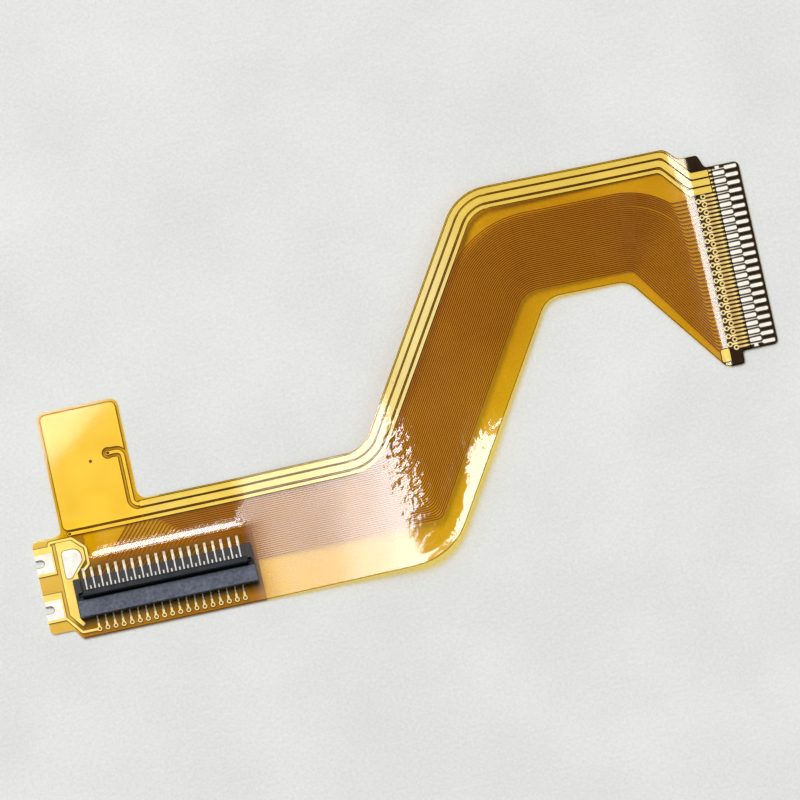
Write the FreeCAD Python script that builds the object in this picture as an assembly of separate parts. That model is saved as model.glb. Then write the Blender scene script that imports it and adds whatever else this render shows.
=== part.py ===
import FreeCAD, Part
import math
import os

os.makedirs("parts", exist_ok=True)
V = FreeCAD.Vector

# Millimetres. The drawing frame has +X along the connector, +Y across it and +Z up,
# with its zero near the middle of the connector. The last step moves every piece so
# that the zero is at the bottom centre of the whole cable.

# Layer thicknesses, from the bottom up
STIFFENER_T = 0.2
COVERLAY_T = 0.025
COPPER_T = 0.018
BASE_T = 0.025
PLATING_T = 0.012

# Contacts: pitch of all contacts, which take turns in a rear and a front row
PITCH = 0.3
SIGNALS = 39
REAR_CONTACTS = 20
FRONT_CONTACTS = 19
CONTACT_W = 0.1
CONTACT_T = 0.12
CONTACT_TIP_IN = 0.35
CONTACT_REAR_OUT = 0.18
CONTACT_FRONT_OUT = 0.17
REAR_FOOT = 0.34
FRONT_FOOT = 0.28
FOOT_T = 0.09
FRONT_REACH = 0.35

# Connector housing
CONNECTOR_X = 0.2
HOUSING_FRONT_Y = -0.95
HOUSING_DEPTH = 2.85
ROOF_DEPTH = 1.2
FLOOR_T = 0.19
MOUTH_GAP = 0.28
ROOF_T = 0.39
END_GAP = 0.43
END_WALL = 0.42
COMB_DROP = 0.04
SIDE_PLAY = 0.02
WALL_STEP = 0.29

# Lock bar of the connector, standing open
BAR_T = 0.4
BAR_REACH = 1.2
BAR_BEVEL = 0.1
BAR_CLEAR = 0.07
BAR_ROOF_CLEAR = 0.17
BAR_COMB_CLEAR = 0.13
BAR_FLOOR_CLEAR = 0.11
PIN_R = 0.12
PIN_LENGTH = 0.28
PIN_CLEAR = 0.05

# Hold-down plates in the end walls
HOLD_T = 0.12
HOLD_IN = 0.15
HOLD_LENGTH = 0.55
HOLD_BEHIND = 0.2
HOLD_BELOW_TOP = 0.06

# Solder pads and plated holes at the connector
REAR_PAD_W = 0.2
REAR_PAD_UNDER = 0.13
REAR_PAD_OUT = 0.28
PAD_CORNER_R = 0.08
FRONT_PAD_W = 0.17
FRONT_PAD_GAP = 0.05
FRONT_PAD_LENGTH = 0.45
BARREL_R = 0.1
BORE_R = 0.06
RING_R = 0.18
REAR_RING_R = 0.16
REAR_SOLDER_W = 0.18
FRONT_SOLDER_W = 0.14
SOLDER_H = 0.1

# Film outline: lower run, left ears and ground tab
EDGE_MARGIN = 0.45
LOWER_WIDTH = 9.2
LEFT_MARGIN = 2.4
EAR_LENGTH = 2.25
EAR_LOW_STEP = 0.75
EAR_LOW_LENGTH = 1.75
EAR_HIGH_DROP = 1.5
EAR_LOW_R = 0.35
EAR_HIGH_R = 0.45
FOOT_R = 0.25
TAB_WIDTH = 6.0
TAB_HEIGHT = 7.7
TAB_R = 0.55
TAB_ROOT_LEFT_R = 0.5
TAB_ROOT_RIGHT_R = 0.75

# Film outline: slanted run and upper run
LOWER_RUN = 16.7
SLANT_DEG = 58.3
SLANT_WIDTH = 8.83
SLANT_INNER_R = 2.1
SLANT_OUTER_R = 4.8
RISE = 17.2
UPPER_RUN = 15.527
UPPER_WIDTH = 9.0
UPPER_LEFT_R = 3.8
UPPER_INNER_R = 1.9
UPPER_RIGHT_R = 0.8

# Film outline: drop to the tail and the tail itself
TAIL_LENGTH = 5.1
TAIL_R = 0.35
TAIL_SIDE = 0.3
TAIL_TOP_DROP = 2.25
DROP_FILM_DEG = 53.5
DROP_INNER_R = 1.5
LOW_EAR_BACK = 2.68
LOW_EAR_WIDTH = 1.36
LOW_EAR_DROP = 0.95
LOW_EAR_R = 0.25
LOW_EAR_SWEEP_R = 0.8
HIGH_EAR_BACK = 2.85
HIGH_EAR_ROOT_BACK = 2.5
HIGH_EAR_RISE = 1.0
HIGH_EAR_R = 0.25
HIGH_EAR_SWEEP = 0.85
HIGH_EAR_SWEEP_R = 0.6

# Edge pads with half-round notches on the left ears
PAD_LENGTH = 1.25
PAD_HEIGHT = 1.44
PAD_RIM_RIGHT = 0.12
PAD_RIM_BELOW = 0.18
PAD_RIM_ABOVE = 0.47
HIGH_PAD_DOWN = 2.49
LOW_PAD_UP = 1.0
NOTCH_R = 0.3
NOTCH_IN = 0.35
NOTCH_ABOVE_MIDDLE = 0.06
EDGE_TRACE_W = 0.18
EDGE_LANE_RISE = 0.26
EDGE_LANE_SHORT = 0.35
EDGE_LANE_OUT = 0.5
EDGE_LANE_FALL = 0.85
EDGE_LANE_ABOVE_PAD = 0.25
EDGE_LOW_BEND = 1.25
EDGE_LOW_START = 0.5

# Ground strip beside the connector and its bare pad
STRIP_GAP = 0.28
STRIP_HOUSING_GAP = 0.07
STRIP_TRACE_GAP = 0.17
STRIP_HEAD_GAP = 0.28
STRIP_TOP_GAP = 0.13
STRIP_SHOULDER_Y = 0.08
STRIP_NECK_RISE = 0.44
STRIP_SLOPE = 0.88
STRIP_CHAMFER = 0.77
STRIP_LEFT_END_Y = 0.45
STRIP_RIGHT_END_Y = 0.05
STRIP_FOOT_OUT = 0.3
STRIP_FOOT_W = 0.2
STRIP_FOOT_Y = 0.35
STRIP_FOOT_DROP = 0.18
STRIP_R = 0.1
STRIP_SMALL_R = 0.05
BARE_SIDE = 0.3
BARE_RIGHT = 0.25
BARE_TOP = 0.66
BARE_FOOT_W = 0.4
BARE_BELOW = 0.18
BARE_R = 0.3
BARE_FOOT_R = 0.16

# Wide copper traces on top: distance from the upper film edge, and width
OUTER_OFFSET = 0.35
MIDDLE_OFFSET = 0.94
INNER_OFFSET = 1.48
OUTER_TRACE_W = 0.42
MIDDLE_TRACE_W = 0.5
INNER_TRACE_W = 0.27
WIDE_DROP_BACK = 0.2
WIDE_DROP_STEP = 0.22
WIDE_TAIL_BACK = 3.6
WIDE_TAIL_STEP = 0.2
WIDE_TAIL_W = 0.5
WIDE_DROP_R = 0.7
WIDE_TAIL_R = 0.4

# Ground tab plane and the slot that the outer wide trace runs in
PLANE_MARGIN = 0.22
PLANE_R = 0.4
SLOT_VIA_IN = 1.45
SLOT_VIA_UP = 3.8
SLOT_TRACE_IN = 0.42
SLOT_TRACE_W = 0.26
SLOT_GAP = 0.24
SLOT_BEND_R = 0.45
INNER_VIA_IN = 0.6
VIA_GAP = 0.12
PLANE_VIA_IN = 3.2
PLANE_VIA_UP = 3.45
MIDDLE_START_IN = 1.0

# Fine signal traces on the bottom
FIRST_FANNED = 3
SIGNAL_W = 0.075
FAN_DEG = 48.0
FAN_FALL = 0.039
FAN_VIA_BACK = 0.3
FAN_R = 0.5
LOWER_PITCH = 0.157
LOWER_MARGIN = 3.03
UPPER_PITCH = 0.1506
UPPER_MARGIN = 2.5
SLANT_PITCH = 0.144
SLANT_MARGIN = 1.64
LOW_BEND_FIRST_R = 3.6
LOW_BEND_LAST_R = 0.6
HIGH_BEND_FIRST_R = 7.4
HIGH_BEND_LAST_R = 1.9
DROP_DEG = 55.9
DROP_CENTRE_OUT = 0.1
HIDDEN_START = 1.1
TAIL_FAN_R = 0.45

# Tail contact fingers: two staggered rows
OUTER_FINGERS = 23
INNER_FINGERS = 22
POWER_FINGERS = 3
OUTER_END_GAP = 0.15
OUTER_LENGTH = 0.9
OUTER_W = 0.33
INNER_LENGTH = 0.85
INNER_W = 0.35
ROW_GAP = 0.05
FINGER_R = 0.13
NECK_W = 0.1
LEAD_W = 0.16
NECK_TAPER = 0.1
NECK_BEHIND = 0.2
NECK_R = 0.05
POWER_BEHIND = 0.35
OUTER_VIA_BEHIND = 1.1
INNER_VIA_BEHIND = 1.5
TAIL_RING_R = 0.2
COVER_BEHIND = 0.05
MARK_BEHIND = 0.17
MARK_LENGTH = 0.36
MARK_OUT = 0.26
LOCATOR_BACK = 4.25
LOCATOR_W = 0.65
LOCATOR_UP = 0.35
LOCATOR_H = 0.95
LOCATOR_R = 0.14

# Stiffeners and the opening in the top cover film
STIFFENER_OUT = 0.35
STIFFENER_BEHIND = 0.65
STIFFENER_STEP_GAP = 0.13
TAIL_STIFFENER = 3.7
WINDOW_SIDE = 0.33
WINDOW_FRONT = 0.1
WINDOW_REAR = 0.08

# Gentle lift of the free film between its stiffened ends: heights at the crest,
# halfway up to it, and a quarter and three quarters of the way down from it
LIFT_CREST = 0.78
LIFT_UP_HALF = 0.32
LIFT_DOWN_QUARTER = 0.66
LIFT_DOWN_LATE = 0.12
CREST_BEYOND_BEND = 3.6
LIFT_START_GAP = 0.4
LIFT_END_GAP = 1.55

# Heights of the layer faces
Z_COVER = STIFFENER_T
Z_SIGNAL = Z_COVER + COVERLAY_T
Z_BASE = Z_SIGNAL + COPPER_T
Z_TOP_COPPER = Z_BASE + BASE_T
Z_TOP_COVER = Z_TOP_COPPER + COPPER_T
Z_FILM_TOP = Z_TOP_COVER + COVERLAY_T
CONTACT_Z0 = Z_FILM_TOP + FLOOR_T
CONTACT_Z1 = CONTACT_Z0 + CONTACT_T
ROOF_LOW_Z = CONTACT_Z1 + MOUTH_GAP
HOUSING_TOP_Z = ROOF_LOW_Z + ROOF_T
WALL_REAR_TOP_Z = HOUSING_TOP_Z - WALL_STEP
COMB_TOP_Z = CONTACT_Z1 - COMB_DROP

# Places at the connector that follow from the sizes above
ROW_HALF = 0.5 * PITCH * (SIGNALS - 1)
FIRST_REAR_X = CONNECTOR_X - ROW_HALF
HOUSING_HALF = ROW_HALF + END_GAP + END_WALL
HOUSING_REAR_Y = HOUSING_FRONT_Y + HOUSING_DEPTH
ROOF_REAR_Y = HOUSING_FRONT_Y + ROOF_DEPTH
PIVOT_Y = ROOF_REAR_Y + BAR_ROOF_CLEAR + 0.5 * BAR_T
PIVOT_Z = CONTACT_Z1 + BAR_FLOOR_CLEAR + 0.5 * BAR_T
COMB_Y = PIVOT_Y + 0.5 * BAR_T + BAR_COMB_CLEAR
CONTACT_TIP_Y = HOUSING_FRONT_Y + CONTACT_TIP_IN
REAR_BEND_Y = HOUSING_REAR_Y + CONTACT_REAR_OUT
REAR_FOOT_Y = REAR_BEND_Y + REAR_FOOT
FRONT_END_Y = COMB_Y + FRONT_REACH
FRONT_BEND_Y = HOUSING_FRONT_Y - CONTACT_FRONT_OUT
FRONT_FOOT_Y = FRONT_BEND_Y - FRONT_FOOT
REAR_PAD_Y0 = REAR_BEND_Y - REAR_PAD_UNDER
REAR_PAD_Y1 = REAR_FOOT_Y + REAR_PAD_OUT
FRONT_PAD_Y0 = FRONT_FOOT_Y - FRONT_PAD_GAP
FRONT_VIA_Y = FRONT_PAD_Y0 - FRONT_PAD_LENGTH

# Places on the film that follow from the sizes above
SLANT = math.radians(SLANT_DEG)
SLANT_ACROSS = (math.sin(SLANT), -math.cos(SLANT))
RUN_LOW_Y = FRONT_VIA_Y - EDGE_MARGIN
RUN_HIGH_Y = RUN_LOW_Y + LOWER_WIDTH
LEFT_END_X = CONNECTOR_X - HOUSING_HALF - LEFT_MARGIN
TAB_LEFT_X = LEFT_END_X + EAR_LENGTH
TAB_RIGHT_X = TAB_LEFT_X + TAB_WIDTH
TAB_TOP_Y = RUN_HIGH_Y + TAB_HEIGHT
EAR_LOW_Y = RUN_LOW_Y + EAR_LOW_STEP
EAR_HIGH_Y = RUN_HIGH_Y - EAR_HIGH_DROP
SLANT_INNER_X = TAB_RIGHT_X + LOWER_RUN
SLANT_OUTER_X = (SLANT_INNER_X + SLANT_WIDTH / math.sin(SLANT)
                 - LOWER_WIDTH / math.tan(SLANT))
UPPER_HIGH_Y = RUN_HIGH_Y + RISE
UPPER_LOW_Y = UPPER_HIGH_Y - UPPER_WIDTH
UPPER_LEFT_X = SLANT_INNER_X + RISE / math.tan(SLANT)
UPPER_RIGHT_X = UPPER_LEFT_X + UPPER_RUN
TAIL_END_X = UPPER_RIGHT_X + TAIL_LENGTH
FINGER_TOP_Y = UPPER_HIGH_Y - TAIL_TOP_DROP
TAIL_HIGH_Y = FINGER_TOP_Y + TAIL_SIDE
TAIL_LOW_Y = FINGER_TOP_Y - PITCH * (OUTER_FINGERS + INNER_FINGERS - 1) - TAIL_SIDE
LOW_EAR_Y = TAIL_LOW_Y - LOW_EAR_DROP
LOW_EAR_X = TAIL_END_X - LOW_EAR_BACK
LOW_SWEEP_X = LOW_EAR_X - LOW_EAR_WIDTH
DROP_INNER_X = (LOW_SWEEP_X
                - (UPPER_LOW_Y - LOW_EAR_Y) / math.tan(math.radians(DROP_FILM_DEG)))
DROP_CENTRE_X = DROP_INNER_X + DROP_CENTRE_OUT
MID = V(0.5 * (LEFT_END_X + TAIL_END_X), 0.5 * (RUN_LOW_Y + UPPER_HIGH_Y), 0)

# Places of pads, fingers and traces that follow from the sizes above
PAD_RIGHT_X = LEFT_END_X + PAD_LENGTH
PAD_COPPER_RIGHT_X = PAD_RIGHT_X + PAD_RIM_RIGHT
HIGH_PAD_Y = EAR_HIGH_Y - HIGH_PAD_DOWN
LOW_PAD_Y = EAR_LOW_Y + LOW_PAD_UP
OUTER_X1 = TAIL_END_X - OUTER_END_GAP
OUTER_X0 = OUTER_X1 - OUTER_LENGTH
INNER_X1 = OUTER_X0 - ROW_GAP
INNER_X0 = INNER_X1 - INNER_LENGTH
NECK_X = INNER_X0 - NECK_BEHIND
POWER_END_X = INNER_X0 - POWER_BEHIND
OUTER_VIA_X = INNER_X0 - OUTER_VIA_BEHIND
INNER_VIA_X = INNER_X0 - INNER_VIA_BEHIND
COVER_END_X = INNER_X0 - COVER_BEHIND
LOCATOR_X = TAIL_END_X - LOCATOR_BACK
LOCATOR_Y = LOW_EAR_Y + LOCATOR_UP
WIDE_DROP_X = UPPER_RIGHT_X - WIDE_DROP_BACK
WIDE_TAIL_X = TAIL_END_X - WIDE_TAIL_BACK
WIDE_OFFSET = [OUTER_OFFSET, MIDDLE_OFFSET, INNER_OFFSET]
WIDE_WIDTH = [OUTER_TRACE_W, MIDDLE_TRACE_W, INNER_TRACE_W]
SLOT_TRACE_X = TAB_RIGHT_X - SLOT_TRACE_IN
SLOT_VIA = (TAB_RIGHT_X - SLOT_VIA_IN, RUN_HIGH_Y + SLOT_VIA_UP)
PLANE_VIA = (TAB_LEFT_X + PLANE_VIA_IN, RUN_HIGH_Y + PLANE_VIA_UP)
EDGE_VIA = (TAB_LEFT_X + INNER_VIA_IN, RUN_HIGH_Y - INNER_OFFSET)
EDGE_LANE_Y = HIGH_PAD_Y + PAD_HEIGHT + PAD_RIM_ABOVE + EDGE_LANE_RISE
STIFFENER_RIGHT_X = CONNECTOR_X + HOUSING_HALF + STIFFENER_OUT
LIFT_X0 = STIFFENER_RIGHT_X + LIFT_START_GAP
CREST_X = SLANT_INNER_X + CREST_BEYOND_BEND
LIFT_X1 = TAIL_END_X - TAIL_STIFFENER - LIFT_END_GAP


def unit(a, b):
    """Unit direction from point a to point b in the plane."""
    length = math.hypot(b[0] - a[0], b[1] - a[1])
    return ((b[0] - a[0]) / length, (b[1] - a[1]) / length)


def tangent_lengths(points, closed):
    """How far each rounded corner reaches along its edges, kept within the edges."""
    count = len(points)
    reach = [0.0] * count
    half = [0.0] * count
    inner = range(count) if closed else range(1, count - 1)
    for i in inner:
        back = unit(points[i], points[i - 1])
        ahead = unit(points[i], points[(i + 1) % count])
        dot = max(-1.0, min(1.0, back[0] * ahead[0] + back[1] * ahead[1]))
        half[i] = 0.5 * math.acos(dot)
        if math.degrees(half[i]) < 89.9:
            reach[i] = points[i][2] / math.tan(half[i])
    fit = [1.0] * count
    for i in range(count if closed else count - 1):
        j = (i + 1) % count
        length = math.hypot(points[j][0] - points[i][0], points[j][1] - points[i][1])
        total = reach[i] + reach[j]
        if total > 0.98 * length:
            fit[i] = min(fit[i], 0.98 * length / total)
            fit[j] = min(fit[j], 0.98 * length / total)
    return [reach[i] * fit[i] for i in range(count)], half


def rounded_wire(points):
    """Closed flat wire through (x, y, corner radius) points."""
    count = len(points)
    reach, half = tangent_lengths(points, True)
    edges = []
    last = None
    first = None
    for i in range(count):
        here = V(points[i][0], points[i][1], 0)
        if reach[i] < 1e-4:
            start = middle = end = here
        else:
            back = unit(points[i], points[i - 1])
            ahead = unit(points[i], points[(i + 1) % count])
            radius = reach[i] * math.tan(half[i])
            start = here + V(back[0], back[1], 0) * reach[i]
            end = here + V(ahead[0], ahead[1], 0) * reach[i]
            inward = V(back[0] + ahead[0], back[1] + ahead[1], 0)
            inward.normalize()
            middle = here + inward * (radius / math.sin(half[i]) - radius)
        if last is not None:
            edges.append(Part.makeLine(last, start))
        if first is None:
            first = start
        if end is not here:
            edges.append(Part.Arc(start, middle, end).toShape())
        last = end
    edges.append(Part.makeLine(last, first))
    return Part.Wire(edges)


def shifted(points, side):
    """The path moved sideways by side, to its left when side is positive."""
    moved = []
    last = len(points) - 1
    for i, (x, y, radius) in enumerate(points):
        along = unit(points[max(i - 1, 0)], points[max(i, 1)])
        onward = unit(points[min(i, last - 1)], points[min(i + 1, last)])
        turn = along[0] * onward[1] - along[1] * onward[0]
        lean = 1 + along[0] * onward[0] + along[1] * onward[1]
        left = (-(along[1] + onward[1]) / lean, (along[0] + onward[0]) / lean)
        inside = side if turn > 0 else -side
        moved.append((x + side * left[0], y + side * left[1], max(radius - inside, 0)))
    return moved


def ribbon(points, width, end_r=0.0):
    """Flat face of even width that follows a path of (x, y, corner radius) points."""
    right = shifted(points, -0.5 * width)
    left = shifted(points, 0.5 * width)
    left.reverse()
    outline = right + left
    ends = (0, len(right) - 1, len(right), len(outline) - 1)
    for i in ends:
        outline[i] = (outline[i][0], outline[i][1], end_r)
    return Part.Face(rounded_wire(outline))


def box_outline(x0, y0, x1, y1, radius=0.0):
    return [(x0, y0, radius), (x1, y0, radius), (x1, y1, radius), (x0, y1, radius)]


def flat(points):
    return Part.Face(rounded_wire(points))


def disc(x, y, radius):
    return Part.Face(Part.Wire(Part.makeCircle(radius, V(x, y, 0))))


def merged(faces):
    """Several overlapping flat faces as one."""
    plain = [part for face in faces for part in face.Faces]
    return plain[0].multiFuse(plain[1:]).removeSplitter()


def raised(face, z, thickness):
    """Flat face made into a plate that starts at height z."""
    plate = face.extrude(V(0, 0, thickness))
    plate.translate(V(0, 0, z))
    return plate


def lift_points():
    """Places along X where the free film's slope changes, with its height there."""
    fall = LIFT_X1 - CREST_X
    return [
        (LIFT_X0, 0), (0.5 * (LIFT_X0 + CREST_X), LIFT_UP_HALF), (CREST_X, LIFT_CREST),
        (CREST_X + 0.25 * fall, LIFT_DOWN_QUARTER), (CREST_X + 0.75 * fall, LIFT_DOWN_LATE),
        (LIFT_X1, 0),
    ]


def laid(face, z, thickness):
    """Flat face made into a plate that starts at height z and follows the film's lift."""
    x0 = LEFT_END_X - LEFT_MARGIN
    x1 = TAIL_END_X + LEFT_MARGIN
    line = [(x0, 0)] + lift_points() + [(x1, 0)]
    low = [V(x, RUN_LOW_Y - EDGE_MARGIN, z + h) for x, h in line]
    high = [p + V(0, 0, thickness) for p in reversed(low)]
    layer = Part.Face(Part.makePolygon(low + high + [low[0]]))
    layer = layer.extrude(V(0, UPPER_HIGH_Y - RUN_LOW_Y + 2 * EDGE_MARGIN, 0))
    column = raised(face, z - thickness, LIFT_CREST + 3 * thickness)
    return Part.makeCompound(column.common(layer).Solids)


def block(x0, x1, y0, y1, z0, z1):
    return Part.makeBox(x1 - x0, y1 - y0, z1 - z0, V(x0, y0, z0))


def side_profile(points, x0, width):
    """Closed (y, z) outline pushed along X."""
    corners = [V(x0, y, z) for y, z in points]
    wire = Part.makePolygon(corners + [corners[0]])
    return Part.Face(wire).extrude(V(width, 0, 0))


def slant_x(x_at, y_from, y_to):
    """Where a line at the slant angle is when it reaches another height."""
    return x_at + (y_to - y_from) / math.tan(SLANT)


def film_points():
    inner_x = slant_x(SLANT_OUTER_X, RUN_LOW_Y, UPPER_LOW_Y)
    return [
        (LEFT_END_X, EAR_LOW_Y, EAR_LOW_R),
        (LEFT_END_X + EAR_LOW_LENGTH, EAR_LOW_Y, FOOT_R),
        (TAB_LEFT_X, RUN_LOW_Y, FOOT_R),
        (SLANT_OUTER_X, RUN_LOW_Y, SLANT_OUTER_R),
        (inner_x, UPPER_LOW_Y, UPPER_INNER_R),
        (DROP_INNER_X, UPPER_LOW_Y, DROP_INNER_R),
        (LOW_SWEEP_X, LOW_EAR_Y, LOW_EAR_SWEEP_R),
        (LOW_EAR_X, LOW_EAR_Y, LOW_EAR_R),
        (LOW_EAR_X, TAIL_LOW_Y, LOW_EAR_R),
        (TAIL_END_X, TAIL_LOW_Y, TAIL_R),
        (TAIL_END_X, TAIL_HIGH_Y, TAIL_R),
        (TAIL_END_X - HIGH_EAR_ROOT_BACK, TAIL_HIGH_Y, TAIL_R),
        (TAIL_END_X - HIGH_EAR_BACK, TAIL_HIGH_Y + HIGH_EAR_RISE, HIGH_EAR_R),
        (UPPER_RIGHT_X + HIGH_EAR_SWEEP, TAIL_HIGH_Y + HIGH_EAR_RISE, HIGH_EAR_SWEEP_R),
        (UPPER_RIGHT_X, UPPER_HIGH_Y, UPPER_RIGHT_R),
        (UPPER_LEFT_X, UPPER_HIGH_Y, UPPER_LEFT_R),
        (SLANT_INNER_X, RUN_HIGH_Y, SLANT_INNER_R),
        (TAB_RIGHT_X, RUN_HIGH_Y, TAB_ROOT_RIGHT_R),
        (TAB_RIGHT_X, TAB_TOP_Y, TAB_R),
        (TAB_LEFT_X, TAB_TOP_Y, TAB_R),
        (TAB_LEFT_X, EAR_HIGH_Y, TAB_ROOT_LEFT_R),
        (LEFT_END_X, EAR_HIGH_Y, EAR_HIGH_R),
    ]


def notch(y, radius):
    """Half-round bite in the left edge, with a straight mouth."""
    x = LEFT_END_X + NOTCH_IN
    mouth = flat(box_outline(LEFT_END_X - NOTCH_R, y - radius, x, y + radius))
    return merged([disc(x, y, radius), mouth])


def notch_y(pad_y):
    """Middle of the notch in the edge pad that starts at pad_y."""
    return pad_y + 0.5 * PAD_HEIGHT + NOTCH_ABOVE_MIDDLE


def film_face():
    """The film's outline with its two edge notches."""
    face = flat(film_points())
    for pad_y in (HIGH_PAD_Y, LOW_PAD_Y):
        face = face.cut(notch(notch_y(pad_y), NOTCH_R))
    return face


def signal_end(i):
    """X of the plated hole at the tail end of signal i."""
    return OUTER_VIA_X if i % 2 == 0 else INNER_VIA_X


def signal_tail_y(i):
    return FINGER_TOP_Y - PITCH * (2 * POWER_FINGERS + i)


def contact_x(i):
    return FIRST_REAR_X + PITCH * i


def lower_y(i):
    """Y of signal i in the lower run."""
    return RUN_LOW_Y + LOWER_MARGIN + LOWER_PITCH * (SIGNALS - 1 - i)


def fan_y(i):
    """Y where signal i leaves its contact and slants towards the lower run."""
    falling = HOUSING_REAR_Y - FAN_FALL * (i - FIRST_FANNED)
    return min(falling, lower_y(i) - 0.5 * PITCH)


def signal_start_y(i):
    """Y of the plated hole at the connector end of signal i."""
    if i % 2 == 1:
        return FRONT_VIA_Y
    return fan_y(i) - FAN_VIA_BACK


def connector_vias():
    first_front = [(contact_x(1), FRONT_VIA_Y)]
    return first_front + [(contact_x(i), signal_start_y(i)) for i in range(FIRST_FANNED, SIGNALS)]


def tail_vias():
    return [(signal_end(i), signal_tail_y(i)) for i in range(SIGNALS)]


def plane_vias():
    return [SLOT_VIA, EDGE_VIA, PLANE_VIA]


def via_face(x, y):
    return disc(x, y, BARREL_R)


def signal_bends(i):
    """Corners where signal i meets the slanted, upper and drop runs."""
    share = i / (SIGNALS - 1)
    low_r = LOW_BEND_FIRST_R + share * (LOW_BEND_LAST_R - LOW_BEND_FIRST_R)
    high_r = HIGH_BEND_FIRST_R + share * (HIGH_BEND_LAST_R - HIGH_BEND_FIRST_R)
    offset = SLANT_MARGIN + SLANT_PITCH * i
    on_x = SLANT_INNER_X + offset * SLANT_ACROSS[0]
    on_y = RUN_HIGH_Y + offset * SLANT_ACROSS[1]
    y0 = lower_y(i)
    y1 = UPPER_HIGH_Y - UPPER_MARGIN - UPPER_PITCH * i
    x0 = slant_x(on_x, on_y, y0)
    x1 = slant_x(on_x, on_y, y1)
    return [(x0, y0, low_r), (x1, y1, high_r)] + drop_bends(i, y1)


def drop_bends(i, y1):
    """The last bend of signal i, cut short where it runs into its tail line."""
    y2 = signal_tail_y(i)
    radius = y1 - UPPER_LOW_Y
    turn = math.radians(DROP_DEG)
    rise = (y2 - UPPER_LOW_Y) / radius
    if rise > math.cos(turn):
        turn = math.acos(rise)
    corner_x = DROP_CENTRE_X + radius * math.tan(0.5 * turn)
    x2 = corner_x + (y1 - y2) / math.tan(turn)
    return [(corner_x, y1, radius), (x2, y2, TAIL_FAN_R)]


def signal_path(i):
    x = contact_x(i)
    y0 = lower_y(i)
    if i < FIRST_FANNED:
        start = [(TAB_RIGHT_X + HIDDEN_START, y0, 0)]
    else:
        edge_y = signal_start_y(i) + BARREL_R
        low_y = fan_y(i)
        reach = (y0 - low_y) / math.tan(math.radians(FAN_DEG))
        start = [(x, edge_y, 0), (x, low_y, FAN_R), (x + reach, y0, FAN_R)]
    end = [(signal_end(i) - BARREL_R, signal_tail_y(i), 0)]
    return start + signal_bends(i) + end


def signal_traces():
    plates = []
    for i in range(SIGNALS):
        face = ribbon(signal_path(i), SIGNAL_W)
        plates.extend(laid(face, Z_SIGNAL, COPPER_T).Solids)
    return Part.makeCompound(plates)


def barrels(places):
    """Plated tubes between the two copper layers."""
    tubes = []
    for x, y in places:
        ring = disc(x, y, BARREL_R).cut(disc(x, y, BORE_R))
        tubes.append(raised(ring, Z_SIGNAL, Z_TOP_COVER - Z_SIGNAL))
    return Part.makeCompound(tubes)


def wide_path(k, start):
    """Path of wide trace k from a list of start points to its tail fingers."""
    offset = WIDE_OFFSET[k]
    on_x = SLANT_INNER_X + offset * SLANT_ACROSS[0]
    on_y = RUN_HIGH_Y + offset * SLANT_ACROSS[1]
    y0 = RUN_HIGH_Y - offset
    y1 = UPPER_HIGH_Y - offset
    y2 = power_y(k)
    return start + [
        (slant_x(on_x, on_y, y0), y0, SLANT_INNER_R + offset),
        (slant_x(on_x, on_y, y1), y1, UPPER_LEFT_R - offset),
        (WIDE_DROP_X - WIDE_DROP_STEP * k, y1, WIDE_DROP_R),
        (WIDE_TAIL_X - WIDE_TAIL_STEP * k, y2, WIDE_TAIL_R),
        (POWER_END_X, y2, 0),
    ]


def power_y(k):
    """Middle of the two tail fingers that wide trace k feeds."""
    return FINGER_TOP_Y - PITCH * (2 * k + 0.5)


def wide_tail(k):
    y = power_y(k)
    x0 = WIDE_TAIL_X - WIDE_TAIL_STEP * k
    half = 0.5 * WIDE_TAIL_W
    return flat(box_outline(x0, y - half, POWER_END_X, y + half))


def slot_path():
    """Thin start of the outer wide trace, in the ground tab's slot."""
    y_run = RUN_HIGH_Y - OUTER_OFFSET
    return [
        (SLOT_VIA[0], SLOT_VIA[1], 0),
        (SLOT_TRACE_X, SLOT_VIA[1], SLOT_BEND_R),
        (SLOT_TRACE_X, y_run, SLOT_BEND_R),
        (SLOT_TRACE_X + 2 * SLOT_BEND_R, y_run, 0),
    ]


def wide_trace_outer():
    start = [(SLOT_TRACE_X + SLOT_BEND_R, RUN_HIGH_Y - OUTER_OFFSET, 0)]
    faces = [
        ribbon(wide_path(0, start), WIDE_WIDTH[0]),
        ribbon(slot_path(), SLOT_TRACE_W),
        disc(SLOT_VIA[0], SLOT_VIA[1], RING_R),
        wide_tail(0),
    ]
    return merged(faces)


def ground_plane():
    """Copper of the tab with the middle wide trace, which leaves it to the right."""
    low_y = RUN_HIGH_Y - MIDDLE_OFFSET - 0.5 * MIDDLE_TRACE_W
    plane = flat(box_outline(TAB_LEFT_X + PLANE_MARGIN, low_y,
                             TAB_RIGHT_X - PLANE_MARGIN, TAB_TOP_Y - PLANE_MARGIN, PLANE_R))
    gap = ribbon(slot_path(), SLOT_TRACE_W + 2 * SLOT_GAP)
    hole = disc(SLOT_VIA[0], SLOT_VIA[1], RING_R + SLOT_GAP)
    corner = disc(EDGE_VIA[0], EDGE_VIA[1], RING_R + VIA_GAP)
    plane = plane.cut(gap).cut(hole).cut(corner)
    start = [(TAB_LEFT_X + MIDDLE_START_IN, RUN_HIGH_Y - MIDDLE_OFFSET, 0)]
    return merged([plane, ribbon(wide_path(1, start), WIDE_WIDTH[1]), wide_tail(1)])


def wide_trace_inner():
    start = [(EDGE_VIA[0], EDGE_VIA[1], 0)]
    faces = [
        ribbon(wide_path(2, start), WIDE_WIDTH[2]),
        disc(EDGE_VIA[0], EDGE_VIA[1], RING_R),
        wide_tail(2),
    ]
    return merged(faces)


def drilled(face, places):
    holes = Part.makeCompound([via_face(x, y) for x, y in places])
    return face.cut(holes)


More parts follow.
